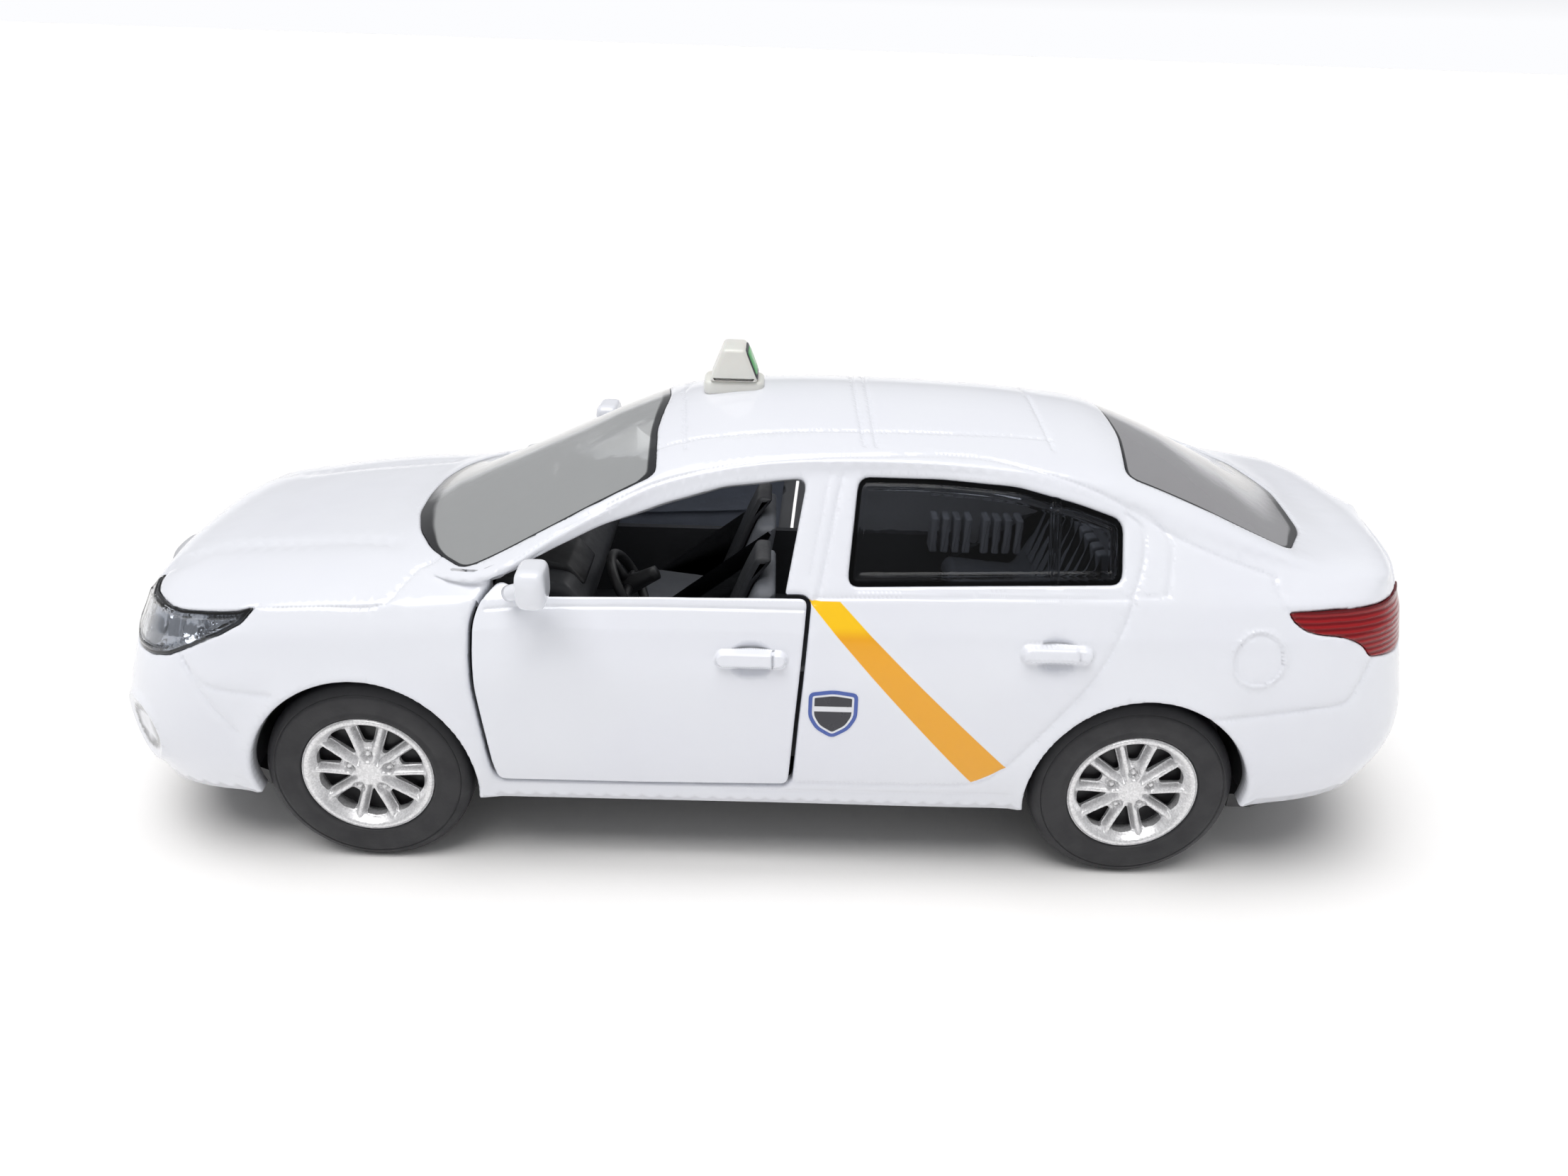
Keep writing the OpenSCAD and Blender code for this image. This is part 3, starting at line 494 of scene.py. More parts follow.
def refine(uv, tris, place, spacing, rounds=6):
    """Splits every edge longer than the wanted spacing at its middle, and each triangle by
    whichever of its edges were split, until none is too long."""
    for _ in range(rounds):
        p = place(uv)
        edges = np.sort(np.stack([tris, np.roll(tris, -1, axis=1)], axis=2), axis=2).reshape(-1, 2)
        unique, back = np.unique(edges, axis=0, return_inverse=True)
        a, b = p[unique[:, 0]], p[unique[:, 1]]
        long = np.linalg.norm(a - b, axis=1) > spacing((a + b) / 2, uv[unique].mean(axis=1))
        if not long.any():
            break
        number = np.full(len(unique), -1)
        number[long] = len(uv) + np.arange(long.sum())
        uv = np.concatenate([uv, uv[unique[long]].mean(axis=1)])
        mid = number[back.reshape(-1)].reshape(-1, 3)
        count = (mid >= 0).sum(axis=1)
        whole = tris[count == 0]
        t, m = tris[count == 3], mid[count == 3]
        parts = [whole, np.stack([t[:, 0], m[:, 0], m[:, 2]], 1),
                 np.stack([m[:, 0], t[:, 1], m[:, 1]], 1),
                 np.stack([m[:, 2], m[:, 1], t[:, 2]], 1), m]
        t, m = turned(tris[count == 1], mid[count == 1], np.argmax(mid[count == 1] >= 0, axis=1))
        parts += [np.stack([t[:, 0], m[:, 0], t[:, 2]], 1),
                  np.stack([m[:, 0], t[:, 1], t[:, 2]], 1)]
        t, m = turned(tris[count == 2], mid[count == 2], np.argmax(mid[count == 2] < 0, axis=1) + 1)
        parts += [np.stack([m[:, 0], t[:, 1], m[:, 1]], 1),
                  np.stack([t[:, 0], m[:, 0], m[:, 1]], 1),
                  np.stack([t[:, 0], m[:, 1], t[:, 2]], 1)]
        tris = np.concatenate(parts)
    return uv, tris


def turned(tris, mid, start):
    """Rows of triangles and their edge numbers, turned so that each starts at its own start."""
    index = (start[:, None] + np.arange(3)[None]) % 3
    return np.take_along_axis(tris, index, axis=1), np.take_along_axis(mid, index, axis=1)


def clip(uv, tris, value):
    """Keeps what lies where value is above 0, cutting triangles along the line where it is 0."""
    keep = value > 0
    count = keep[tris].sum(axis=1)
    edges = np.sort(np.stack([tris, np.roll(tris, -1, axis=1)], axis=2), axis=2).reshape(-1, 2)
    unique, back = np.unique(edges, axis=0, return_inverse=True)
    crossing = keep[unique[:, 0]] != keep[unique[:, 1]]
    number = np.full(len(unique), -1)
    number[crossing] = len(uv) + np.arange(crossing.sum())
    a, b = unique[crossing, 0], unique[crossing, 1]
    t = (value[a] / (value[a] - value[b]))[:, None]
    uv = np.concatenate([uv, uv[a] + (uv[b] - uv[a]) * t])
    mid = number[back.reshape(-1)].reshape(-1, 3)
    parts = [tris[count == 3]]
    one = count == 1
    t1, m1 = turned(tris[one], mid[one], np.argmax(keep[tris[one]], axis=1))
    parts.append(np.stack([t1[:, 0], m1[:, 0], m1[:, 2]], 1))
    two = count == 2
    t2, m2 = turned(tris[two], mid[two], np.argmin(keep[tris[two]], axis=1))
    parts.append(np.stack([m2[:, 0], t2[:, 1], t2[:, 2]], 1))
    parts.append(np.stack([m2[:, 0], t2[:, 2], m2[:, 2]], 1))
    return tidy(uv, np.concatenate(parts))


def tidy(uv, tris):
    """Drops unused points."""
    used, back = np.unique(tris, return_inverse=True)
    return uv[used], back.reshape(-1, 3)


def surface_normals(place, uv, eps=0.01):
    """Outward unit normals by small steps along the columns and up the surface."""
    du, dv = np.array([[eps, 0]]), np.array([[0, eps]])
    along = place(np.clip(uv + du, 0, [LAST_COLUMN, CROWN])) - place(np.clip(uv - du, 0, None))
    up = place(np.clip(uv + dv, 0, [LAST_COLUMN, CROWN])) - place(np.clip(uv - dv, 0, None))
    normal = np.cross(up, along)
    flat = uv[:, 1] >= CROWN
    normal[flat, 1] = 0
    ends = (uv[:, 0] <= 0) | (uv[:, 0] >= LAST_COLUMN)
    normal[ends, 1] = 0
    size = np.linalg.norm(normal, axis=1, keepdims=True)
    return normal / np.maximum(size, 1e-9)


def raised_surface(relief, inset=0.0):
    """The body's surface with a relief added along its normal, moved in by inset."""
    def place(uv):
        p = base_surface(uv)
        return p + surface_normals(base_surface, uv) * (relief(p, uv) - inset)[:, None]
    return place


def mirrored(points, normals, tris):
    """A left half joined to its mirror image along y = 0."""
    middle = np.abs(points[:, 1]) < 1e-7
    twin = np.where(middle, np.arange(len(points)), -1)
    twin[~middle] = len(points) + np.arange((~middle).sum())
    flip = np.array([[1, -1, 1]])
    all_points = np.concatenate([points, points[~middle] * flip])
    all_normals = np.concatenate([normals, normals[~middle] * flip])
    return all_points, all_normals, np.concatenate([tris, twin[tris][:, ::-1]])


def thick_sheet(points, normals, tris, under):
    """Closes a sheet into a thin solid: the sheet, the points of its under side, and a rim
    between their edges. Returns points, triangles and a normal for each triangle corner."""
    n = len(points)
    edges = np.concatenate([tris[:, [0, 1]], tris[:, [1, 2]], tris[:, [2, 0]]])
    code = edges[:, 0] * n + edges[:, 1]
    reverse = edges[:, 1] * n + edges[:, 0]
    open_edges = edges[~np.isin(code, reverse)]
    a, b = open_edges[:, 0], open_edges[:, 1]
    rim = np.concatenate([np.stack([b, a, a + n], 1), np.stack([b, a + n, b + n], 1)])
    all_points = np.concatenate([points, under])
    all_tris = np.concatenate([tris, tris[:, ::-1] + n, rim])
    side = np.cross(all_points[rim[:, 1]] - all_points[rim[:, 0]],
                    all_points[rim[:, 2]] - all_points[rim[:, 0]])
    side /= np.maximum(np.linalg.norm(side, axis=1, keepdims=True), 1e-12)
    corner_normals = np.concatenate([normals[tris], -normals[tris[:, ::-1]],
                                     np.repeat(side[:, None], 3, axis=1)])
    return all_points, all_tris, corner_normals


# ---- Putting pieces into the scene -------------------------------------------------------------

def mesh_piece(name, points, faces, finish, body, corner_normals=None, smooth=True, flip=False):
    """Makes a mesh object from points in millimetres and lets it ride on a body."""
    points = np.asarray(points, float)
    faces = np.asarray(faces)
    if flip:
        points = points * [1, -1, 1]
        faces = faces[:, ::-1]
        if corner_normals is not None:
            corner_normals = corner_normals[:, ::-1] * [1, -1, 1]
    mesh = bpy.data.meshes.new(name)
    sides = faces.shape[1]
    mesh.vertices.add(len(points))
    mesh.vertices.foreach_set("co", (points * MM).ravel())
    mesh.loops.add(faces.size)
    mesh.loops.foreach_set("vertex_index", faces.ravel().astype(np.int32))
    mesh.polygons.add(len(faces))
    mesh.polygons.foreach_set("loop_start", np.arange(0, faces.size, sides, dtype=np.int32))
    mesh.update(calc_edges=True)
    mesh.validate()
    mesh.polygons.foreach_set("use_smooth", np.full(len(mesh.polygons), smooth))
    if corner_normals is not None and len(mesh.loops) == faces.size:
        mesh.normals_split_custom_set(corner_normals.reshape(-1, 3).tolist())
    mesh.update()
    piece = bpy.data.objects.new(name, mesh)
    bpy.context.scene.collection.objects.link(piece)
    mesh.materials.append(finish)
    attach(piece, body)
    return piece


def outward(points, faces):
    """The faces of a closed mesh, turned round if its signed volume is negative."""
    a, b, c = points[faces[:, 0]], points[faces[:, 1]], points[faces[:, 2]]
    volume = (a * np.cross(b, c)).sum()
    if faces.shape[1] == 4:
        d = points[faces[:, 3]]
        volume += (a * np.cross(c, d)).sum()
    return faces if volume > 0 else faces[:, ::-1]


def give_values(piece, name, values):
    """Stores one number for each point of a piece."""
    layer = piece.data.attributes.new(name, "FLOAT", "POINT")
    layer.data.foreach_set("value", np.asarray(values, np.float32))


def second_finish(piece, finish, chosen):
    """Gives the chosen faces a second material."""
    piece.data.materials.append(finish)
    index = np.zeros(len(piece.data.polygons), np.int32)
    index[chosen] = 1
    piece.data.polygons.foreach_set("material_index", index)


def sharpen(piece, degrees=32):
    """Keeps edges sharper than an angle crisp under smooth shading."""
    piece.data.set_sharp_from_angle(angle=math.radians(degrees))
    return piece


def surface_piece(name, window, room, spacing, relief, inset, thick, finish, body="car",
                  flip=False, whole=False, edge=True, back=None, under_relief=None):
    """A piece of the body's surface as thick as given: the part of a window of columns and
    heights where room is positive. whole adds its mirror image; back finishes its under side,
    which under_relief makes thicker in places."""
    uv, tris = grid_patch(*window, 0.6, 0.3)
    uv, tris = refine(uv, tris, base_surface, spacing)
    uv, tris = clip(uv, tris, room(base_surface(uv), uv))
    place = raised_surface(relief, inset)
    points, normals = place(uv), surface_normals(place, uv)
    base = base_surface(uv)
    extra = 0 if under_relief is None else under_relief(base, uv)[:, None]
    under = base - surface_normals(base_surface, uv) * (inset + thick + extra)
    values = room(base, uv)
    outer = tris
    if whole:
        under = mirrored(under, normals, tris)[0]
        values = np.concatenate([values, values[np.abs(points[:, 1]) >= 1e-7]])
        points, normals, outer = mirrored(points, normals, tris)
    closed, faces, corners = thick_sheet(points, normals, outer, under)
    piece = mesh_piece(name, closed, faces, finish, body, corners, flip=flip)
    if edge:
        give_values(piece, "edge", np.concatenate([values, values]))
    if back is not None:
        second_finish(piece, back, slice(len(outer), 2 * len(outer)))
    return piece


def block_piece(name, outline, axis, low, high, radius, finish, body="car", steps=5, smooth=True):
    """A closed outline carried from low to high along an axis, drawn in by a quarter circle near
    both ends so that its edges are round, with a flat cap at each end."""
    outline = np.asarray(outline, float)
    area = (outline[:, 0] * np.roll(outline[:, 1], -1) - outline[:, 1] * np.roll(outline[:, 0], -1))
    if area.sum() < 0:
        outline = outline[::-1]
    before, after = np.roll(outline, 1, axis=0), np.roll(outline, -1, axis=0)
    along = (after - before) / np.maximum(np.linalg.norm(after - before, axis=1), 1e-9)[:, None]
    inward = np.stack([-along[:, 1], along[:, 0]], axis=1)
    a = np.linspace(0, np.pi / 2, steps)
    draw = np.concatenate([radius * (1 - np.sin(a)), radius * (1 - np.sin(a[::-1]))])
    depth = np.concatenate([low + radius * (1 - np.cos(a)), high - radius * (1 - np.cos(a[::-1]))])
    flat = outline[None] + inward[None] * draw[:, None, None]
    along_axis = np.repeat(depth[:, None], len(outline), axis=1)[..., None]
    order = {"x": [2, 0, 1], "y": [0, 2, 1], "z": [0, 1, 2]}[axis]
    points = np.concatenate([flat, along_axis], axis=2).reshape(-1, 3)[:, order]
    n, m = len(outline), len(depth)
    i = np.arange(n * m).reshape(m, n)
    quads = np.stack([i[:-1], np.roll(i, -1, axis=1)[:-1], np.roll(i, -1, axis=1)[1:], i[1:]],
                     axis=2).reshape(-1, 4)
    quads = quads if axis != "y" else quads[:, ::-1]
    caps = [i[0][::-1].tolist(), i[-1].tolist()]
    caps = caps if axis != "y" else [cap[::-1] for cap in caps]
    mesh = bpy.data.meshes.new(name)
    mesh.from_pydata((points * MM).tolist(), [], quads.tolist() + caps)
    mesh.update()
    mesh.polygons.foreach_set("use_smooth", np.full(len(mesh.polygons), smooth))
    piece = bpy.data.objects.new(name, mesh)
    bpy.context.scene.collection.objects.link(piece)
    mesh.materials.append(finish)
    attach(piece, body)
    return sharpen(piece, 50)


def ring_surface(profile, count, centre, turn=None):
    """A closed profile [radius, distance in from the wheel's face] carried round the axle."""
    profile = np.asarray(profile, float)
    a = np.linspace(0, 2 * np.pi, count, endpoint=False)
    x = profile[None, :, 0] * np.cos(a)[:, None]
    z = profile[None, :, 0] * np.sin(a)[:, None]
    y = np.repeat(-profile[None, :, 1], count, axis=0)
    points = np.stack([x, y, z], axis=2).reshape(-1, 3)
    if turn is not None:
        points = points @ turn.T
    i = np.arange(count * len(profile)).reshape(count, len(profile))
    j, k = np.roll(i, -1, axis=0), np.roll(i, -1, axis=1)
    quads = np.stack([i, j, np.roll(j, -1, axis=1), k], axis=2).reshape(-1, 4)
    return points + centre, outward(points, quads)


# ---- Finishes ----------------------------------------------------------------------------------

def new_finish(name, colour, roughness, **sockets):
    """A material whose plain numbers sit on the shader's own sockets."""
    material = bpy.data.materials.new(name)
    material.use_nodes = True
    shader = material.node_tree.nodes["Principled BSDF"]
    shader.inputs["Base Color"].default_value = (*colour, 1)
    shader.inputs["Roughness"].default_value = roughness
    for socket, value in sockets.items():
        shader.inputs[socket.replace("_", " ")].default_value = value
    return material


def node(material, kind, inputs=(), **settings):
    """A node with its settings, and its inputs linked or filled in order; None skips one."""
    tree = material.node_tree
    made = tree.nodes.new(kind)
    for key, value in settings.items():
        setattr(made, key, value)
    for socket, value in zip(made.inputs, inputs):
        if isinstance(value, bpy.types.NodeSocket):
            tree.links.new(value, socket)
        elif value is not None:
            socket.default_value = value
    return made


def place_of(material):
    """The point on the object, in millimetres, as separate x, y and z."""
    where = node(material, "ShaderNodeTexCoord").outputs["Object"]
    scaled = node(material, "ShaderNodeVectorMath", [where], operation="SCALE")
    scaled.inputs["Scale"].default_value = 1 / MM
    return scaled.outputs[0]


def grain(material, scale, detail=3.0, roughness=0.55):
    """Noise of a size given as a number of waves a millimetre."""
    made = node(material, "ShaderNodeTexNoise")
    material.node_tree.links.new(place_of(material), made.inputs["Vector"])
    made.inputs["Scale"].default_value = scale
    made.inputs["Detail"].default_value = detail
    made.inputs["Roughness"].default_value = roughness
    return made.outputs["Fac"]


def span(material, value, low, high, to_low=0.0, to_high=1.0):
    """A value mapped smoothly from one range to another, held at the ends."""
    made = node(material, "ShaderNodeMapRange", [value, low, high, to_low, to_high],
                interpolation_type="SMOOTHSTEP")
    return made.outputs[0]


def math_node(material, operation, *inputs):
    """One step of arithmetic."""
    return node(material, "ShaderNodeMath", inputs, operation=operation).outputs[0]


def mixed(material, share, first, second):
    """Colour from first to second by a share."""
    made = node(material, "ShaderNodeMix", data_type="RGBA")
    for socket, value in zip((made.inputs[0], made.inputs[6], made.inputs[7]),
                             (share, first, second)):
        if isinstance(value, bpy.types.NodeSocket):
            material.node_tree.links.new(value, socket)
        else:
            socket.default_value = value if not isinstance(value, tuple) else (*value[:3], 1)
    return made.outputs[2]


def to_shader(material, socket, value):
    """Links a value to the shader."""
    shader = material.node_tree.nodes["Principled BSDF"]
    material.node_tree.links.new(value, shader.inputs[socket])


def bumped(material, height, distance, strength=1.0):
    """Lets a height in the range 0 to 1 tilt the surface; the distance is in millimetres."""
    made = node(material, "ShaderNodeBump")
    made.inputs["Strength"].default_value = strength
    made.inputs["Distance"].default_value = distance * MM
    material.node_tree.links.new(height, made.inputs["Height"])
    to_shader(material, "Normal", made.outputs["Normal"])


def moulded(name, colour, roughness, waves, depth, **sockets):
    """Plastic or paint with a fine surface grain, a slightly uneven gloss and a faint change of
    shade."""
    material = new_finish(name, colour, roughness, **sockets)
    shade = tuple(0.86 * c for c in colour)
    to_shader(material, "Base Color", mixed(material, span(material, grain(material, 0.12), 0.35,
                                                           0.7), colour, shade))
    to_shader(material, "Roughness", span(material, grain(material, 0.5), 0.3, 0.7,
                                          roughness * 0.85, roughness * 1.2))
    bumped(material, grain(material, waves), depth)
    return material


def line_side(material, where, a, b):
    """Distance from the line through a and b seen from the side, positive on its left."""
    along = np.array([b[0] - a[0], b[1] - a[1]], float)
    normal = np.array([-along[1], along[0]]) / np.linalg.norm(along)
    dot = node(material, "ShaderNodeVectorMath", [where, (normal[0], 0, normal[1])],
               operation="DOT_PRODUCT").outputs["Value"]
    return math_node(material, "SUBTRACT", dot, float(normal @ np.array(a)))


def paint_finish(name, striped):
    """White gloss enamel; on the body a yellow stripe crosses the rear doors, painted lighter above
    the shoulder crease and deeper orange below it as painted light and shade, and the intakes are
    dark."""
    white, cool = (0.80, 0.818, 0.868), (0.785, 0.80, 0.86)
    material = new_finish(name, white, 0.24, Coat_Weight=0.55, Coat_Roughness=0.06)
    colour = mixed(material, span(material, grain(material, 0.07), 0.3, 0.75), white, cool)
    if striped:
        where = place_of(material)
        sides = [line_side(material, where, STRIPE[i], STRIPE[(i + 1) % 4]) for i in range(4)]
        inside = sides[0]
        for side in sides[1:]:
            inside = math_node(material, "MINIMUM", inside, side)
        height = node(material, "ShaderNodeSeparateXYZ", [where]).outputs["Z"]
        # Painted light and shade: the stripe is lighter yellow above the shoulder crease, where the
        # surface turns up to the overhead light, and deeper orange below it.
        yellow_painted_light = mixed(material, span(material, height, 24.6, 25.8), (0.86, 0.38, 0.0),
                       (0.97, 0.57, 0.0))
        colour = mixed(material, span(material, inside, -0.04, 0.04), colour, yellow_painted_light)
        dark = node(material, "ShaderNodeAttribute", attribute_name="dark").outputs["Fac"]
        colour = mixed(material, dark, colour, (0.012, 0.012, 0.014))
    to_shader(material, "Base Color", colour)
    to_shader(material, "Roughness", span(material, grain(material, 0.3), 0.3, 0.7, 0.21, 0.27))
    bumped(material, grain(material, 1.6, 2.0), 0.003)
    return material


def glass_finish(name, tint, edge_width, clear=1.0, gloss=1.46, coat=0.4, roughness=0.03,
                 wider=()):
    """Moulded plastic glazing, milky where it isn't fully clear, with a dark band where it meets
    the body. wider lists stretches along x over which the band grows, and by how much."""
    material = new_finish(name, tint, roughness, Transmission_Weight=clear, IOR=gloss,
                          Coat_Weight=coat, Coat_Roughness=0.02)
    edge = node(material, "ShaderNodeAttribute", attribute_name="edge").outputs["Fac"]
    if wider:
        along = node(material, "ShaderNodeSeparateXYZ", [place_of(material)]).outputs["X"]
        width = edge_width
        for low, high, extra in wider:
            width = math_node(material, "ADD", width, span(material, along, low, high, 0, extra))
        band = span(material, math_node(material, "DIVIDE", edge, width), 0.7, 1.2)
    else:
        band = span(material, edge, edge_width * 0.8, edge_width * 1.15)
    to_shader(material, "Base Color", mixed(material, band, (0.02, 0.022, 0.026), tint))
    to_shader(material, "Roughness", span(material, grain(material, 0.25), 0.3, 0.7,
                                          roughness * 0.6, roughness * 2.4))
    bumped(material, grain(material, 0.35, 2.0), 0.03)
    return material


STRIPE = [(-3.3, 27.75), (-6.1, 27.75), (-21.9, 12.7), (-18.9, 10.9)]

PAINT = paint_finish("white_enamel", False)
PAINT_BODY = paint_finish("white_enamel_striped", True)
PAINT_INSIDE = moulded("white_enamel_inside", (0.6, 0.61, 0.64), 0.5, 2.0, 0.03)
GLASS = glass_finish("grey_glazing", (0.55, 0.565, 0.57), 0.22, 0.5,
                     wider=((29.5, 33.5, 1.2), (12.4, 11.2, 0.6)))
REAR_GLASS = glass_finish("rear_glazing", (0.53, 0.53, 0.55), 0.22, 0.55,
                          wider=((-46.0, -49.0, 0.5),))
DARK_GLASS = glass_finish("dark_glazing", (0.42, 0.44, 0.48), 0.35, 1.0, 1.2, 0.08)
IVORY = moulded("ivory_plastic_grain", (0.80, 0.79, 0.74), 0.36, 1.4, 0.012,
                Subsurface_Weight=0.06, Coat_Weight=0.15)
RUBBER = moulded("black_rubber_grain", (0.016, 0.016, 0.019), 0.52, 3.0, 0.02)
BLACK = moulded("black_plastic_grain", (0.02, 0.02, 0.022), 0.42, 2.4, 0.015)
DARK = moulded("dark_plastic_grain", (0.05, 0.052, 0.058), 0.46, 2.0, 0.02)
CARD = moulded("blue_grey_trim", (0.36, 0.40, 0.50), 0.42, 1.6, 0.02)
SEAT = moulded("grey_seat_trim", (0.20, 0.21, 0.235), 0.45, 1.2, 0.03)
TRIM = moulded("grey_ribbed_trim", (0.42, 0.43, 0.46), 0.5, 1.2, 0.03)
STEEL = moulded("plain_steel", (0.62, 0.62, 0.64), 0.3, 3.0, 0.006, Metallic=1.0)
CHROME = moulded("bright_reflector", (0.60, 0.62, 0.66), 0.16, 1.0, 0.03, Metallic=1.0)
PLATE = moulded("plate_white_satin", (0.80, 0.80, 0.79), 0.4, 1.2, 0.01)
PLATE_EDGE = moulded("plate_black_edge", (0.03, 0.03, 0.035), 0.4, 1.2, 0.01)
GREEN = moulded("green_panel", (0.10, 0.45, 0.14), 0.35, 1.0, 0.01, Coat_Weight=0.3)


def silver_finish():
    """Silver lacquer with fine metal flakes."""
    material = new_finish("silver_lacquer", (0.78, 0.78, 0.79), 0.34, Metallic=0.55,
                          Coat_Weight=0.3, Coat_Roughness=0.12)
    flakes = node(material, "ShaderNodeTexVoronoi")
    material.node_tree.links.new(place_of(material), flakes.inputs["Vector"])
    flakes.inputs["Scale"].default_value = 7.0
    bright = span(material, flakes.outputs["Color"], 0.2, 0.9)
    to_shader(material, "Base Color", mixed(material, bright, (0.70, 0.70, 0.71),
                                            (0.88, 0.88, 0.89)))
    to_shader(material, "Roughness", span(material, grain(material, 4.0), 0.3, 0.7, 0.28, 0.42))
    bumped(material, grain(material, 4.5), 0.02)
    return material


def red_lens_finish():
    """Red lens with fine moulded lines across it and a darker upper lamp."""
    material = new_finish("red_lens", (0.3, 0.008, 0.01), 0.14, Transmission_Weight=0.25,
                          IOR=1.3, Coat_Weight=0.25, Coat_Roughness=0.03)
    height = node(material, "ShaderNodeSeparateXYZ", [place_of(material)]).outputs["Z"]
    wobble = math_node(material, "MULTIPLY", grain(material, 0.25), 3.0)
    wave = math_node(material, "SINE",
                     math_node(material, "MULTIPLY_ADD", height, 13.0, wobble))
    share = span(material, wave, -1.0, 1.0)
    lit = mixed(material, share, (0.20, 0.004, 0.008), (0.40, 0.012, 0.016))
    upper = span(material, height, 27.4, 27.9)
    to_shader(material, "Base Color", mixed(material, upper, lit, (0.14, 0.003, 0.006)))
    to_shader(material, "Roughness", span(material, grain(material, 0.6), 0.3, 0.7, 0.1, 0.2))
    bumped(material, share, 0.05)
    return material


def crest_finish():
    """A plain shield: a blue border, a thin white line and a dark field with a pale bar."""
    material = new_finish("plain_shield", (0.8, 0.8, 0.83), 0.3, Coat_Weight=0.4)
    edge = node(material, "ShaderNodeAttribute", attribute_name="edge").outputs["Fac"]
    height = node(material, "ShaderNodeSeparateXYZ", [place_of(material)]).outputs["Z"]
    bar = math_node(material, "ABSOLUTE", math_node(material, "SUBTRACT", height, 18.4))
    field = mixed(material, span(material, bar, 0.22, 0.27), (0.75, 0.76, 0.8),
                  (0.02, 0.02, 0.03))
    line = mixed(material, span(material, edge, 0.50, 0.55), (0.75, 0.76, 0.8), field)
    to_shader(material, "Base Color", mixed(material, span(material, edge, 0.32, 0.36),
                                            (0.05, 0.10, 0.38), line))
    to_shader(material, "Roughness", span(material, grain(material, 0.8), 0.3, 0.7, 0.25, 0.4))
    bumped(material, grain(material, 2.0), 0.008)
    return material


SILVER = silver_finish()
RED_LENS = red_lens_finish()
CREST = crest_finish()
CLEAR_LENS = glass_finish("clear_lens", (0.80, 0.82, 0.85), 0.28, roughness=0.02)


# ---- Body and doors ----------------------------------------------------------------------------

def no_relief(p, uv):
    """A plain surface."""
    return np.zeros(len(p))


body_skin = surface_piece("body_skin", (0, LAST_COLUMN, 0, CROWN), body_room,
                          finer_near(body_room), body_relief, 0.0, WALL, PAINT_BODY, whole=True,
                          back=PAINT_INSIDE)
skin_points = np.empty(len(body_skin.data.vertices) * 3, np.float32)
body_skin.data.vertices.foreach_get("co", skin_points)
skin_points = skin_points.reshape(-1, 3) / MM
skin_points[:, 1] = np.abs(skin_points[:, 1])
give_values(body_skin, "dark",
            np.maximum(1 - ramp(front_outline(skin_points, INTAKE), -0.35, -0.15),
                       0.75 * (1 - ramp(np.abs(fog_distance(skin_points) + 0.75), 0.28, 0.42))))
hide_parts("body_shell")

DOOR_WINDOW = (24.5, 37.5, 0, 6.5)
for side, flip in (("left", False), ("right", True)):
    body = "door_" + side
    skin = surface_piece("door_skin_" + side, DOOR_WINDOW, door_room,
                         finer_near(door_room, 0.22, 1.2), door_relief, 0.0, WALL, PAINT, body,
                         flip, back=PAINT_INSIDE)
    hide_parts("front_door_" + side)


def card_room(p, uv):
    """Distance inside the door card's edge."""
    return door_room(p, uv) - 1.5


def card_relief(p, uv):
    """The inner trim's armrest, pocket and padded upper edge, as soft-edged bars and an oval."""
    x, z = p[:, 0], p[:, 2]
    arm = np.hypot(np.maximum(np.abs(x - 9.5) - 6.5, 0), (z - 20.6 + 0.06 * (x - 9.5)) * 1.3)
    pocket = np.hypot(np.maximum(np.abs(x - 9.0) - 6.0, 0), z - 13.4)
    upper = np.abs(z - 25.2 + 0.02 * x)
    pull = np.hypot((x - 14.5) / 2.2, (z - 23.0) / 0.8)
    return (1.1 * (1 - ramp(arm, 0.5, 1.3)) + 0.5 * (1 - ramp(upper, 0.4, 1.1))
            - 0.25 * (1 - ramp(pocket, 1.2, 1.7)) + 0.35 * (1 - ramp(pull, 0.8, 1.1)))


def even(size):
    """The same wanted edge length everywhere."""
    def spacing(p, uv):
        return np.full(len(p), size)
    return spacing


# The hinge barrel: its middle on the pin, and its section as [radius, height]
HINGE_AT = [23.0, 21.8, 14.5]
BARREL_SECTION = [[0.46, -2.1], [1.0, -2.1], [1.0, 1.5], [0.46, 1.5]]
UPRIGHT = np.array([[1, 0, 0], [0, 0, -1], [0, 1, 0]])
for side, flip in (("left", False), ("right", True)):
    surface_piece("door_card_" + side, DOOR_WINDOW, card_room, even(0.5), no_relief, WALL + 0.05,
                  0.35, CARD, "door_" + side, flip, edge=False, under_relief=card_relief)
    points, faces = ring_surface(BARREL_SECTION, 32, (0, 0, 0), UPRIGHT)
    barrel = mesh_piece("door_barrel_" + side, points + HINGE_AT, faces, PAINT_INSIDE,
                        "door_" + side, flip=flip)
    sharpen(barrel)


# ---- Glazing -----------------------------------------------------------------------------------

GLASS_T = 1.0
SEAT_GAP = 0.05


def pane_room(outline, high):
    """Distance inside a pane's edge, which keeps a hair's breadth from its opening."""
    def room(p, uv):
        if high:
            return -high_outline(p, outline) - SEAT_GAP
        return np.where(p[:, 1] > 8, -outline_distance(p[:, [0, 2]], outline), -1) - SEAT_GAP
    return room


def pane_spacing(room):
    """Fine at the pane's edge and its dark band, coarser in the middle."""
    def spacing(p, uv):
        return np.clip(0.25 + 0.6 * (np.abs(room(p, uv)) - 0.5), 0.25, 1.4)
    return spacing


def rib_relief(p, uv):
    """The rear pane's frame line and its dividing bar."""
    side = p[:, [0, 2]]
    inside = -outline_distance(side, REAR_PANE)
    bar = np.abs(side[:, 0] + 25.2 + 0.06 * (side[:, 1] - 32))
    frame_line = np.abs(inside - 0.75)
    return 0.14 * (1 - ramp(bar, 0.18, 0.42)) + 0.12 * (1 - ramp(frame_line, 0.12, 0.3))


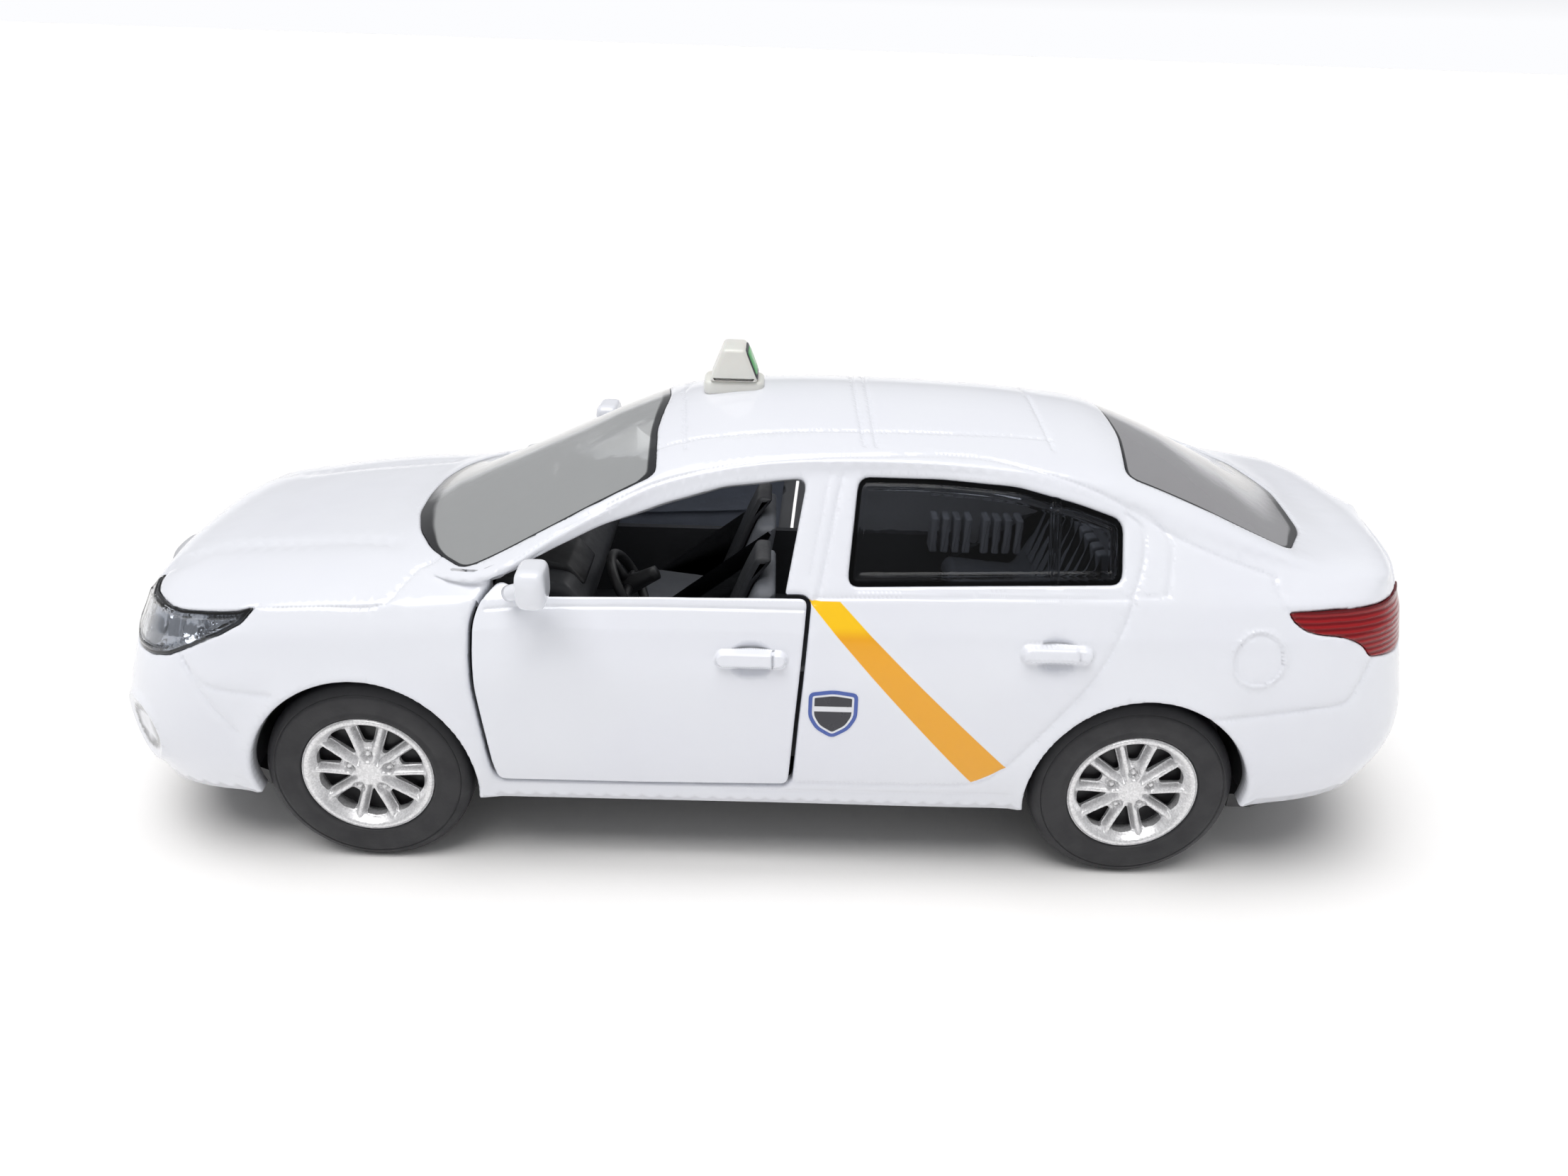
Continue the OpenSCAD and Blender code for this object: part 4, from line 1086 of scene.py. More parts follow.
def rib_spacing(p, uv):
    """Fine along the rear pane's bar and frame."""
    bar = np.abs(p[:, 0] + 25.2)
    inside = np.abs(outline_distance(p[:, [0, 2]], REAR_PANE) + 0.6)
    return np.clip(0.2 + 0.6 * (np.minimum(bar, inside) - 0.5), 0.2, 1.4)


windscreen_room = pane_room(WINDSCREEN, True)
windscreen = surface_piece("windscreen_pane", (30, 42, 5, CROWN), windscreen_room,
                           pane_spacing(windscreen_room), no_relief, 0.15, GLASS_T, GLASS,
                           whole=True)
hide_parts("windscreen")
rear_room = pane_room(REAR_WINDOW, True)
rear_pane = surface_piece("rear_window_pane", (6, 18, 5, CROWN), rear_room,
                          pane_spacing(rear_room), no_relief, 0.15, GLASS_T, REAR_GLASS,
                          whole=True)
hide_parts("rear_window")
side_pane_room = pane_room(REAR_PANE, False)
for side, flip in (("left", False), ("right", True)):
    pane = surface_piece("side_pane_" + side, (14, 26, 4.5, 7.5), side_pane_room, rib_spacing,
                         rib_relief, 0.3, GLASS_T, DARK_GLASS, flip=flip)
    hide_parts("side_glass_" + side)


# ---- Lamps -------------------------------------------------------------------------------------

def lamp_room(outline):
    """Distance inside a lamp's edge."""
    def room(p, uv):
        return -on_surface(outline, p, uv) - SEAT_GAP
    return room


def reflector_relief(p, uv):
    """The headlamp's bowl: two round cups side by side and fine upright flutes between them."""
    out = np.zeros(len(p))
    for centre, radius in (((55.8, 17.6, 22.4), 2.0), ((51.2, 20.4, 23.3), 1.5)):
        r = np.linalg.norm(p - np.array(centre), axis=1) / radius
        out -= 0.7 * (1 - ramp(r, 0.2, 0.95)) - 0.3 * np.exp(-((r - 1.05) / 0.12)**2)
        out += 0.45 * (1 - ramp(r, 0.12, 0.3))
    return out + 0.05 * np.sin(p[:, 0] * 7.0) * ramp(54 - p[:, 0], 0, 1)


def lens_relief(p, uv):
    """A rounded edge and two soft ridges along the lens."""
    edge = -on_surface(HEADLAMP, p, uv)
    ridge = np.abs(edge - 0.55)
    return 0.1 * (1 - ramp(ridge, 0.05, 0.3)) - lip(edge, 0.2)


def tail_relief(p, uv):
    """A rounded edge and the step between the upper lamp and the lower one."""
    return 0.12 * ramp(p[:, 2], 27.4, 27.9) - lip(-on_surface(TAIL_LAMP, p, uv), 0.22)


head_room, tail_room = lamp_room(HEADLAMP), lamp_room(TAIL_LAMP)
for side, flip in (("left", False), ("right", True)):
    lens = surface_piece("headlamp_lens_" + side, (43, 51, 2.8, 6.6), head_room,
                         pane_spacing(head_room), lens_relief, 0.0, 0.45, CLEAR_LENS, flip=flip)
    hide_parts("headlamp_" + side)
    surface_piece("headlamp_bowl_" + side, (43, 51, 2.8, 6.6), head_room, even(0.3),
                  reflector_relief, 1.0, 0.35, CHROME, flip=flip, edge=False)
    lens = surface_piece("tail_lamp_lens_" + side, (3.5, 11, 3.3, 5.8), tail_room,
                         pane_spacing(tail_room), tail_relief, 0.0, 1.4, RED_LENS, flip=flip)
    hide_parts("tail_lamp_" + side)


# ---- Nose, plates and shield -------------------------------------------------------------------

def grille_room(p, uv):
    """Distance inside the grille's opening."""
    return -front_outline(p, GRILLE) - SEAT_GAP


def grille_relief(p, uv):
    """Five flat slats between an upright mesh, inside a raised frame."""
    inside = -front_outline(p, GRILLE)
    wave = np.cos((p[:, 2] - 15.5) * np.pi / 0.6)
    slats = 0.35 * ramp(wave, -0.2, 0.5) * (inside > 0.5)
    upright = 0.15 * ramp(np.cos(p[:, 1] * np.pi / 0.7), 0.4, 0.9) * (inside > 0.5)
    return np.maximum(slats, upright) + 0.5 * (1 - ramp(np.abs(inside - 0.25), 0.1, 0.4)) - 0.6


grille = surface_piece("grille_slats", (48, LAST_COLUMN, 1, 5), grille_room, even(0.24),
                       grille_relief, 0.15, 1.0, BLACK, whole=True, edge=False)
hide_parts("grille")

SHIELD = rounded([[-8.0, 19.9], [-5.8, 20.2], [-3.6, 19.9], [-3.6, 17.6], [-4.3, 16.4],
                  [-5.8, 15.5], [-7.3, 16.4], [-8.0, 17.6]], 0.5)


def shield_room(p, uv):
    """Distance inside the shield."""
    return np.where(p[:, 1] > 8, -outline_distance(p[:, [0, 2]], SHIELD), -1)


for side, flip in (("left", False), ("right", True)):
    shield = surface_piece("shield_" + side, (23.5, 26.5, 2, 4), shield_room, even(0.15),
                           no_relief, -0.05, 0.05, CREST, flip=flip)


def rounded_box(low, high, radius):
    """A rectangle with round corners."""
    return rounded([[low[0], low[1]], [high[0], low[1]], [high[0], high[1]], [low[0], high[1]]],
                   radius)


for end in ("front", "rear"):
    low, high = node_box("plate_" + end)
    face = high[0] if end == "front" else low[0]
    inner = low[0] if end == "front" else high[0]
    near, far = min(face, inner), max(face, inner)
    rim_plate = block_piece("plate_rim_" + end, rounded_box(low[1:], high[1:], 0.4), "x", near,
                            far, 0.08, PLATE_EDGE)
    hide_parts("plate_" + end)
    step = 0.06 if end == "front" else -0.06
    blank = sorted((face + step, face - step))
    white = block_piece("plate_blank_" + end, rounded_box(low[1:] + 0.25, high[1:] - 0.25, 0.3),
                        "x", blank[0], blank[1], 0.03, PLATE)


# ---- Roof sign ---------------------------------------------------------------------------------

FOOT_LOW, FOOT_HIGH = node_box("sign_foot")
BOX_LOW, BOX_HIGH = node_box("sign_box")
foot = block_piece("sign_foot_pad", rounded_box(FOOT_LOW[:2], FOOT_HIGH[:2], 1.1), "z",
                   FOOT_LOW[2], FOOT_HIGH[2], 0.35, IVORY)
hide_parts("sign_foot")
MID_X = (BOX_LOW[0] + BOX_HIGH[0]) / 2
SIGN_TOP_HALF = 1.05
SIGN_SIDE = rounded([[BOX_LOW[0], BOX_LOW[2]], [BOX_HIGH[0], BOX_LOW[2]],
                     [MID_X + SIGN_TOP_HALF, BOX_HIGH[2]],
                     [MID_X - SIGN_TOP_HALF, BOX_HIGH[2]]], 0.35)
sign = block_piece("sign_light", SIGN_SIDE, "y", BOX_LOW[1], BOX_HIGH[1], 0.4, IVORY)
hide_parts("sign_box")


def leaning_plate(name, low_y, high_y, low_t, high_t, out, thick, finish):
    """A flat plate with round corners on the sign's rear face: drawn in the face's own width and
    slope, then laid on the slope."""
    foot_point = np.array([BOX_LOW[0], 0, BOX_LOW[2]])
    up = np.array([MID_X - SIGN_TOP_HALF - BOX_LOW[0], 0, BOX_HIGH[2] - BOX_LOW[2]])
    length = np.linalg.norm(up)
    up /= length
    normal = np.array([-up[2], 0, up[0]])
    edge = rounded_box((low_y, low_t * length), (high_y, high_t * length), 0.5)
    layers = [(0.0, out - thick), (0.0, out - 0.06), (0.08, out)]
    centre = edge.mean(axis=0)
    rings = []
    for draw, height in layers:
        flat = edge + (centre - edge) / np.linalg.norm(centre - edge, axis=1)[:, None] * draw
        rings.append(foot_point + flat[:, :1] * [[0, 1, 0]] + flat[:, 1:] * up[None]
                     + normal[None] * height)
    n, m = len(edge), len(layers)
    points = np.concatenate(rings)
    i = np.arange(n * m).reshape(m, n)
    j = np.roll(i, -1, axis=1)
    quads = np.stack([i[:-1], j[:-1], j[1:], i[1:]], axis=2).reshape(-1, 4)
    turn = np.cross(points[quads[0, 1]] - points[quads[0, 0]],
                    points[quads[0, 3]] - points[quads[0, 0]])
    away = points[quads[0]].mean(axis=0) - points.mean(axis=0)
    caps = [i[0][::-1].tolist(), i[-1].tolist()]
    if turn @ away < 0:
        quads, caps = quads[:, ::-1], [cap[::-1] for cap in caps]
    mesh = bpy.data.meshes.new(name)
    mesh.from_pydata((points * MM).tolist(), [], quads.tolist() + caps)
    mesh.update()
    piece = bpy.data.objects.new(name, mesh)
    bpy.context.scene.collection.objects.link(piece)
    mesh.materials.append(finish)
    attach(piece, "car")
    return sharpen(piece, 40)


leaning_plate("sign_frame", BOX_LOW[1] + 0.3, BOX_HIGH[1] - 0.3, 0.06, 0.94, 0.1, 0.2, DARK)
leaning_plate("sign_panel", BOX_LOW[1] + 0.65, BOX_HIGH[1] - 0.65, 0.17, 0.84, 0.18, 0.2, GREEN)


# ---- Mirrors -----------------------------------------------------------------------------------

def mirror_shell(t, s):
    """The mirror's case: ovals of changing size carried outwards along y. t runs round the oval,
    s from the door to the outer end; the oval is flattened at the rear, where the glass is."""
    centre_x = 19.95 - 0.2 * s
    centre_z = 30.2 + 0.2 * s
    grow = np.sqrt(np.clip(1 - (2 * s - 1)**6, 0, 1))
    half_x, half_z = 1.5 * grow, 1.8 * grow
    power = 0.5
    c, n = np.cos(t), np.sin(t)
    x = centre_x + half_x * np.sign(c) * np.abs(c)**power * np.where(c < 0, 0.75, 1.0)
    z = centre_z + half_z * np.sign(n) * np.abs(n)**power
    y = 21.7 + 4.6 * s
    return np.stack([x, y + 0 * x, z], axis=-1)


def tube_between(start, end, radius, end_radius, count=24, rows=8):
    """A stalk whose round section changes evenly from one end to the other."""
    start, end = np.array(start), np.array(end)
    along = (end - start) / np.linalg.norm(end - start)
    side = np.cross(along, [0, 0, 1])
    side /= np.linalg.norm(side)
    up = np.cross(side, along)
    a = np.linspace(0, 2 * np.pi, count, endpoint=False)
    t = np.linspace(0, 1, rows)[:, None, None]
    circle = np.cos(a)[:, None] * side + np.sin(a)[:, None] * up
    rings = start + (end - start) * t + circle[None] * (radius + (end_radius - radius) * t)
    return np.concatenate([rings.reshape(-1, 3), start[None], end[None]]), rows, count


def closed_rows(rows, count):
    """Triangles of a closed tube of rows of points, with a point at each end."""
    i = np.arange(rows * count).reshape(rows, count)
    j = np.roll(i, -1, axis=1)
    sides = np.concatenate([np.stack([i[:-1], j[:-1], j[1:]], 2).reshape(-1, 3),
                            np.stack([i[:-1], j[1:], i[1:]], 2).reshape(-1, 3)])
    first, last = rows * count, rows * count + 1
    caps = np.concatenate([np.stack([j[0], i[0], np.full(count, first)], 1),
                           np.stack([i[-1], j[-1], np.full(count, last)], 1)])
    return np.concatenate([sides, caps])


for side, flip in (("left", False), ("right", True)):
    s_rows = 0.5 - 0.5 * np.cos(np.linspace(0.02, 0.98, 34) * np.pi)
    t_ring = np.linspace(0, 2 * np.pi, 48, endpoint=False)
    shell = mirror_shell(t_ring[None, :], s_rows[:, None])
    ends = np.stack([shell[0].mean(axis=0), shell[-1].mean(axis=0)])
    points = np.concatenate([shell.reshape(-1, 3), ends])
    case = mesh_piece("mirror_case_" + side, points,
                      outward(points, closed_rows(len(s_rows), len(t_ring))), PAINT,
                      "door_" + side, flip=flip)
    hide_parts("mirror_" + side)
    points, rows, count = tube_between((22.8, 20.9, 27.9), (20.5, 23.0, 29.6), 0.75, 0.6)
    mesh_piece("mirror_stalk_" + side, points, outward(points, closed_rows(rows, count)), PAINT,
               "door_" + side, flip=flip)


# ---- Wheels ------------------------------------------------------------------------------------

SPOKES = 10
BOLTS = 5
BOLT_CIRCLE = 1.95


def smooth_max(a, b, soft):
    """The larger of two values, blended where they cross."""
    return 0.5 * (a + b + np.sqrt((a - b)**2 + soft**2))


def spoke_frame(p):
    """Radius of a point of the wheel's face, and its distance across the nearest spoke."""
    r = np.hypot(p[:, 0], p[:, 1])
    a = np.degrees(np.arctan2(p[:, 1], p[:, 0])) - 90
    step = 360 / SPOKES
    off = np.radians((a % step) - step / 2)
    return r, r * np.sin(off)


def lug_points():
    """The five bolts, at the foot of every second gap."""
    a = np.radians(90 + 360 / BOLTS * np.arange(BOLTS))
    return BOLT_CIRCLE * np.stack([np.cos(a), np.sin(a)], axis=1)


def gap_outlines():
    """The ten gaps between spokes: a fan shape that narrows to the hub, cut short where there is
    a bolt."""
    gaps = []
    for k in range(SPOKES):
        a = np.radians(90 + 360 / SPOKES * k)
        inner = 2.85 if k % 2 == 0 else 2.2
        narrow = 0.42 if k % 2 == 0 else 0.2
        fan = rounded([[inner, -narrow], [4.85, -1.02], [5.08, 0], [4.85, 1.02],
                       [inner, narrow]], 0.3)
        turn = np.array([[np.cos(a), np.sin(a)], [-np.sin(a), np.cos(a)]])
        gaps.append(fan @ turn)
    return gaps


GAPS = gap_outlines()


def wheel_room(p):
    """Distance to the nearest gap, or to the rim's outer edge."""
    return np.min([outline_distance(p, gap) for gap in GAPS]
                  + [RIM_R - 0.02 - np.hypot(p[:, 0], p[:, 1])], axis=0)


def wheel_height(p):
    """Height of the wheel's face over the tyre's: ridged spokes, a domed hub, pockets with bolts
    and a broad lip, blended where they meet."""
    r, off = spoke_frame(p)
    top = -0.34 - 0.30 * ramp(r, 1.0, 4.8)
    spoke = top - 0.75 * ramp(np.abs(off), 0.10, 0.52) - 2.0 * ramp(r, 5.2, 5.8)
    hub = -0.30 - 0.05 * r - 1.6 * ramp(r, 1.15, 1.9)
    rim = -0.95 + 0.88 * ramp(r, 4.85, 5.65) - 0.22 * ramp(r, 5.8, 6.1)
    rim -= 2 * (1 - ramp(r, 4.4, 4.9))
    height = smooth_max(smooth_max(spoke, hub, 0.12), rim, 0.15)
    for lug in lug_points():
        d = np.linalg.norm(p - lug, axis=1)
        pocket = 1 - ramp(d, 0.46, 0.62)
        height = height * (1 - pocket) - 1.0 * pocket
        height += 0.30 * (1 - ramp(d, 0.2, 0.27)) + 0.14 * np.exp(-((d - 0.36) / 0.05)**2)
    return height - 0.1 * (1 - ramp(wheel_room(p), 0, 0.15))


def face_points(p):
    """The wheel's face in space, its outer side towards +y."""
    return np.stack([p[:, 0], wheel_height(p), p[:, 1]], axis=1)


def wheel_face():
    """Points, triangles and corner normals of the wheel's face as a closed solid."""
    ticks = np.linspace(-RIM_R, RIM_R, 32)
    a, b = np.meshgrid(ticks, ticks, indexing="ij")
    i = np.arange(a.size).reshape(a.shape)
    c0, c1, c2, c3 = i[:-1, :-1].ravel(), i[1:, :-1].ravel(), i[1:, 1:].ravel(), i[:-1, 1:].ravel()
    tris = np.concatenate([np.stack([c0, c2, c1], 1), np.stack([c0, c3, c2], 1)])
    flat = np.stack([a.ravel(), b.ravel()], axis=1)

    def spacing(points, uv):
        near_gap = np.abs(wheel_room(uv))
        near_lug = np.min([np.linalg.norm(uv - lug, axis=1) for lug in lug_points()], axis=0) - 0.6
        return np.clip(0.14 + 0.5 * (np.minimum(near_gap, np.maximum(near_lug, 0)) - 0.2),
                       0.14, 0.32)

    flat, tris = refine(flat, tris, lambda q: np.stack([q[:, 0], 0 * q[:, 0], q[:, 1]], 1),
                        spacing, 4)
    flat, tris = clip(flat, tris, wheel_room(flat))
    step = 0.01
    slope_x = (wheel_height(flat + [step, 0]) - wheel_height(flat - [step, 0])) / (2 * step)
    slope_z = (wheel_height(flat + [0, step]) - wheel_height(flat - [0, step])) / (2 * step)
    normals = np.stack([-slope_x, np.ones(len(flat)), -slope_z], axis=1)
    normals /= np.linalg.norm(normals, axis=1, keepdims=True)
    points = face_points(flat)
    under = points.copy()
    under[:, 1] = -1.75
    return thick_sheet(points, normals, tris, under)


WHEEL = wheel_face()
BARREL = [[RIM_R - 0.04, 0.2], [RIM_R - 0.04, TYRE_W - 0.2], [RIM_R - 0.35, TYRE_W],
          [RIM_R - 0.7, TYRE_W - 0.2], [RIM_R - 0.75, 1.6], [RIM_R - 0.6, 0.9]]
# A black disc behind the spokes: painted shade, standing in for the dark hollow inside the wheel
# seen through the gaps.
SHADE_DISC = [[0.95, 2.3], [4.9, 2.3], [5.3, 2.5], [5.3, 2.9], [0.95, 2.9]]
# The tyre's section: [radius, distance in from its outer face]
TYRE_HALF = [[RIM_R, 0.25], [RIM_R + 0.12, 0.08], [RIM_R + 0.35, 0.02], [RIM_R + 0.55, 0.10],
             [RIM_R + 0.8, 0.02], [RIM_R + 1.5, 0.0], [RIM_R + 2.1, 0.06], [RIM_R + 2.32, 0.12],
             [RIM_R + 2.42, 0.22], [RIM_R + 2.52, 0.16], [RIM_R + 2.75, 0.28],
             [TYRE_R - 0.28, 0.55], [TYRE_R - 0.09, 0.85], [TYRE_R, 1.25], [TYRE_R, 2.1],
             [TYRE_R - 0.12, 2.18], [TYRE_R - 0.12, 2.4], [TYRE_R, 2.48]]
TYRE_SECTION = TYRE_HALF + [[r, TYRE_W - d] for r, d in TYRE_HALF[::-1]]

for end, x, body in (("front", FRONT_X, "front_wheels"), ("rear", REAR_X, "rear_wheels")):
    for side, flip in (("left", False), ("right", True)):
        centre = np.array([x, TYRE_FACE_Y, AXLE_Z])
        points, tris, corners = WHEEL
        wheel = mesh_piece("wheel_face_%s_%s" % (end, side), points + centre, tris, SILVER, body,
                           corners, flip=flip)
        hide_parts("rim_%s_%s" % (end, side))
        points, quads = ring_surface(BARREL, 96, centre)
        sharpen(mesh_piece("wheel_barrel_%s_%s" % (end, side), points, quads, SILVER, body,
                           flip=flip))
        # The black disc of painted shade behind the spokes, in place of the wheel's dark hollow.
        points, quads = ring_surface(SHADE_DISC, 64, centre)
        sharpen(mesh_piece("wheel_shade_disc_%s_%s" % (end, side), points, quads, BLACK, body,
                           flip=flip))
        points, quads = ring_surface(TYRE_SECTION, 144, centre)
        tyre = mesh_piece("tyre_ring_%s_%s" % (end, side), points, quads, RUBBER, body, flip=flip)
        sharpen(tyre, 40)
        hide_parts("tyre_%s_%s" % (end, side))


# ---- Cabin -------------------------------------------------------------------------------------

def inner_block(name, cad, outline, radius, finish, body="car"):
    """A rounded block as wide as its CAD node, whose side outline is given."""
    low, high = node_box(cad)
    piece = block_piece(name, rounded(outline, 0.8), "y", low[1], high[1], radius, finish, body)
    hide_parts(cad)
    return piece


SEAT_SIDE = [[0, 0], [10, 0], [11, 3], [10.4, 4.6], [1.6, 3.6], [-2.6, 14.4], [-4.6, 14.6],
             [-3, 4.5]]
BENCH_SIDE = [[0, 0], [9, 0], [10, 3], [9.4, 4.4], [1.6, 3.6], [-3.4, 13], [-5.4, 13], [-3, 4.5]]
SEAT_FLOOR = node_box("front_seat_left")[0][2]
BENCH_FLOOR = node_box("rear_bench")[0][2]
for side in ("left", "right"):
    cad = "front_seat_" + side
    inner_block("seat_shell_" + side, cad, [[4 + x, SEAT_FLOOR + z] for x, z in SEAT_SIDE], 0.9,
                SEAT)
    low, high = node_box(cad)
    rest = [[4 + x, SEAT_FLOOR + z] for x, z in
            [[1.2, 5.2], [-2.3, 14.0], [-4.2, 16.6], [-2.6, 16.8], [-1.4, 14.2], [2.2, 5.0]]]
    mid_y = (low[1] + high[1]) / 2
    block_piece("seat_pad_" + side, rounded(rest, 0.6), "y", mid_y - 2.6, mid_y + 2.6, 0.5, DARK)
inner_block("bench_shell", "rear_bench", [[-30 + x, BENCH_FLOOR + z] for x, z in BENCH_SIDE], 0.8,
            SEAT)
for number, y in enumerate((-8.6, -4.3, 0, 4.3, 8.6)):
    for half, shift in (("a", -1.0), ("b", 1.0)):
        rib = rounded([[-30.2, 19.5], [-33.0, 26.8], [-32.4, 28.6], [-31.2, 28.4],
                       [-31.6, 26.6], [-29.0, 19.8]], 0.4)
        block_piece("bench_rib_%d%s" % (number, half), rib, "y", y + shift - 0.75,
                    y + shift + 0.75, 0.3, SEAT)
shelf_low, shelf_high = node_box("parcel_shelf")
shelf = block_piece("shelf_board", rounded_box(shelf_low[:2], shelf_high[:2], 1.0), "z",
                    shelf_low[2], shelf_high[2], 0.2, DARK)
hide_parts("parcel_shelf")
DASH_SIDE = [[24.6, 19], [18, 20], [17, 23.5], [19, 26], [24, 26.6], [26, 25.6], [26, 19]]
inner_block("dash_top", "dashboard", DASH_SIDE, 0.9, DARK)
hood = rounded([[17.6, 24.6], [19.2, 26.6], [22.5, 27.2], [23.0, 26.2], [18.6, 24.4]], 0.4)
block_piece("dash_hood", hood, "y", 4.6, 11.8, 0.4, BLACK)

STEER_AT = np.array([14.0, 8.2, 23.0])
STEER_TILT = math.radians(118)
STEER_R = 3.4
STEER_GRIP_R = 0.48


def laid_on_wheel(points):
    """Turns points drawn round the y axis so that the wheel faces the driver."""
    drawn = points[:, [0, 2, 1]]
    c, s = math.cos(STEER_TILT), math.sin(STEER_TILT)
    return np.stack([drawn[:, 0] * c + drawn[:, 2] * s, drawn[:, 1],
                     -drawn[:, 0] * s + drawn[:, 2] * c], axis=1) + STEER_AT


a = np.linspace(0, 2 * np.pi, 20, endpoint=False)
grip = np.stack([STEER_R + STEER_GRIP_R * np.cos(a), STEER_GRIP_R * np.sin(a)], axis=1)
points, quads = ring_surface(grip, 72, (0, 0, 0))
points = laid_on_wheel(points)
steering = mesh_piece("steering_rim", points, outward(points, quads), BLACK, "car")
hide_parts("steering_wheel")
for number, angle in enumerate((0, 180, 270)):
    c, s = math.cos(math.radians(angle)), math.sin(math.radians(angle))
    ends = laid_on_wheel(np.array([[0.6 * s, 0, 0.6 * c], [3.2 * s, 0, 3.2 * c]]))
    points, rows, count = tube_between(ends[0], ends[1], 0.5, 0.3, 16, 4)
    mesh_piece("steering_spoke_%d" % number, points, outward(points, closed_rows(rows, count)),
               BLACK, "car")
ends = laid_on_wheel(np.array([[0, 0.5, 0], [0, -3.2, 0]]))
points, rows, count = tube_between(ends[0], ends[1], 1.0, 0.7, 24, 6)
mesh_piece("steering_hub", points, outward(points, closed_rows(rows, count)), BLACK, "car")


# Rear end of each upright rib on the side trim, two groups of four
RIB_X = (-29.4, -28.1, -26.8, -25.5, -23.4, -22.1, -20.8, -19.5)
RIB_W = 0.85
RIB_LOW, RIB_HIGH = 18.2, 22.6
RIB_Y = (12.9, 15.4)
LINER_INNER_R = ARCH_R + 0.25
LINER_OUTER_R = ARCH_R + 0.6
LINER_Y = (HALF_W - 9.0, HALF_W - 1.9)
for side, turn in (("left", 1), ("right", -1)):
    for number, x in enumerate(RIB_X):
        rib = rounded_box((x, RIB_LOW), (x + RIB_W, RIB_HIGH), 0.25)
        inner, outer = sorted((turn * RIB_Y[0], turn * RIB_Y[1]))
        block_piece("side_rib_%s_%d" % (side, number), rib, "y", inner, outer, 0.25, TRIM)
    for end, x in (("front", FRONT_X), ("rear", REAR_X)):
        turns = np.linspace(0, np.pi, 33)
        arc = np.stack([np.cos(turns), np.sin(turns)], axis=1)
        liner = np.concatenate([arc * LINER_OUTER_R, arc[::-1] * LINER_INNER_R]) + [x, AXLE_Z]
        inner, outer = sorted((turn * LINER_Y[0], turn * LINER_Y[1]))
        block_piece("arch_liner_%s_%s" % (end, side), liner, "y", inner, outer, 0.1, BLACK)


# ---- CAD pieces that stay ----------------------------------------------------------------------

KEPT = {"chassis_plate": (BLACK, "black_plastic"), "cabin_tub": (DARK, "dark_plastic"),
        "hinge_pin_left": (STEEL, "steel"), "hinge_pin_right": (STEEL, "steel"),
        "front_axle": (STEEL, "steel"), "rear_axle": (STEEL, "steel"),
        "screw_front": (STEEL, "steel"), "screw_rear": (STEEL, "steel")}
for name, (finish, slot) in KEPT.items():
    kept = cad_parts[name]
    if not kept.material_slots:
        kept.data.materials.append(finish)
    for material_slot in kept.material_slots:
        material_slot.link = "OBJECT"
        material_slot.material = finish


# ---- Floor, light and camera -------------------------------------------------------------------

def floor_finish():
    """White card with the faintest grain."""
    material = new_finish("white_card", (0.93, 0.925, 0.92), 0.75)
    to_shader(material, "Base Color", mixed(material, span(material, grain(material, 0.02), 0.3,
                                                           0.7), (0.93, 0.925, 0.92),
                                            (0.91, 0.905, 0.90)))
    bumped(material, grain(material, 0.8), 0.02)
    return material


mesh = bpy.data.meshes.new("floor")
mesh.from_pydata([(-40, -40, 0), (40, -40, 0), (40, 40, 0), (-40, 40, 0)], [], [(0, 1, 2, 3)])
mesh.materials.append(floor_finish())
floor = bpy.data.objects.new("floor", mesh)
bpy.context.scene.collection.objects.link(floor)


def soft_sun(name, direction, strength, spread, colour=(1, 1, 1)):
    """A very broad overhead light that falls evenly on the whole floor."""
    lamp = bpy.data.lights.new(name, "SUN")
    lamp.energy = strength
    lamp.angle = math.radians(spread)
    lamp.color = colour
    light = bpy.data.objects.new(name, lamp)
    light.rotation_euler = Vector(direction).to_track_quat("Z", "Y").to_euler()
    light.location = (0, 0, 1)
    bpy.context.scene.collection.objects.link(light)
    return light


soft_sun("overhead", (0.14, 0.16, 1.0), 2.5, 50, (1.0, 0.99, 0.98))


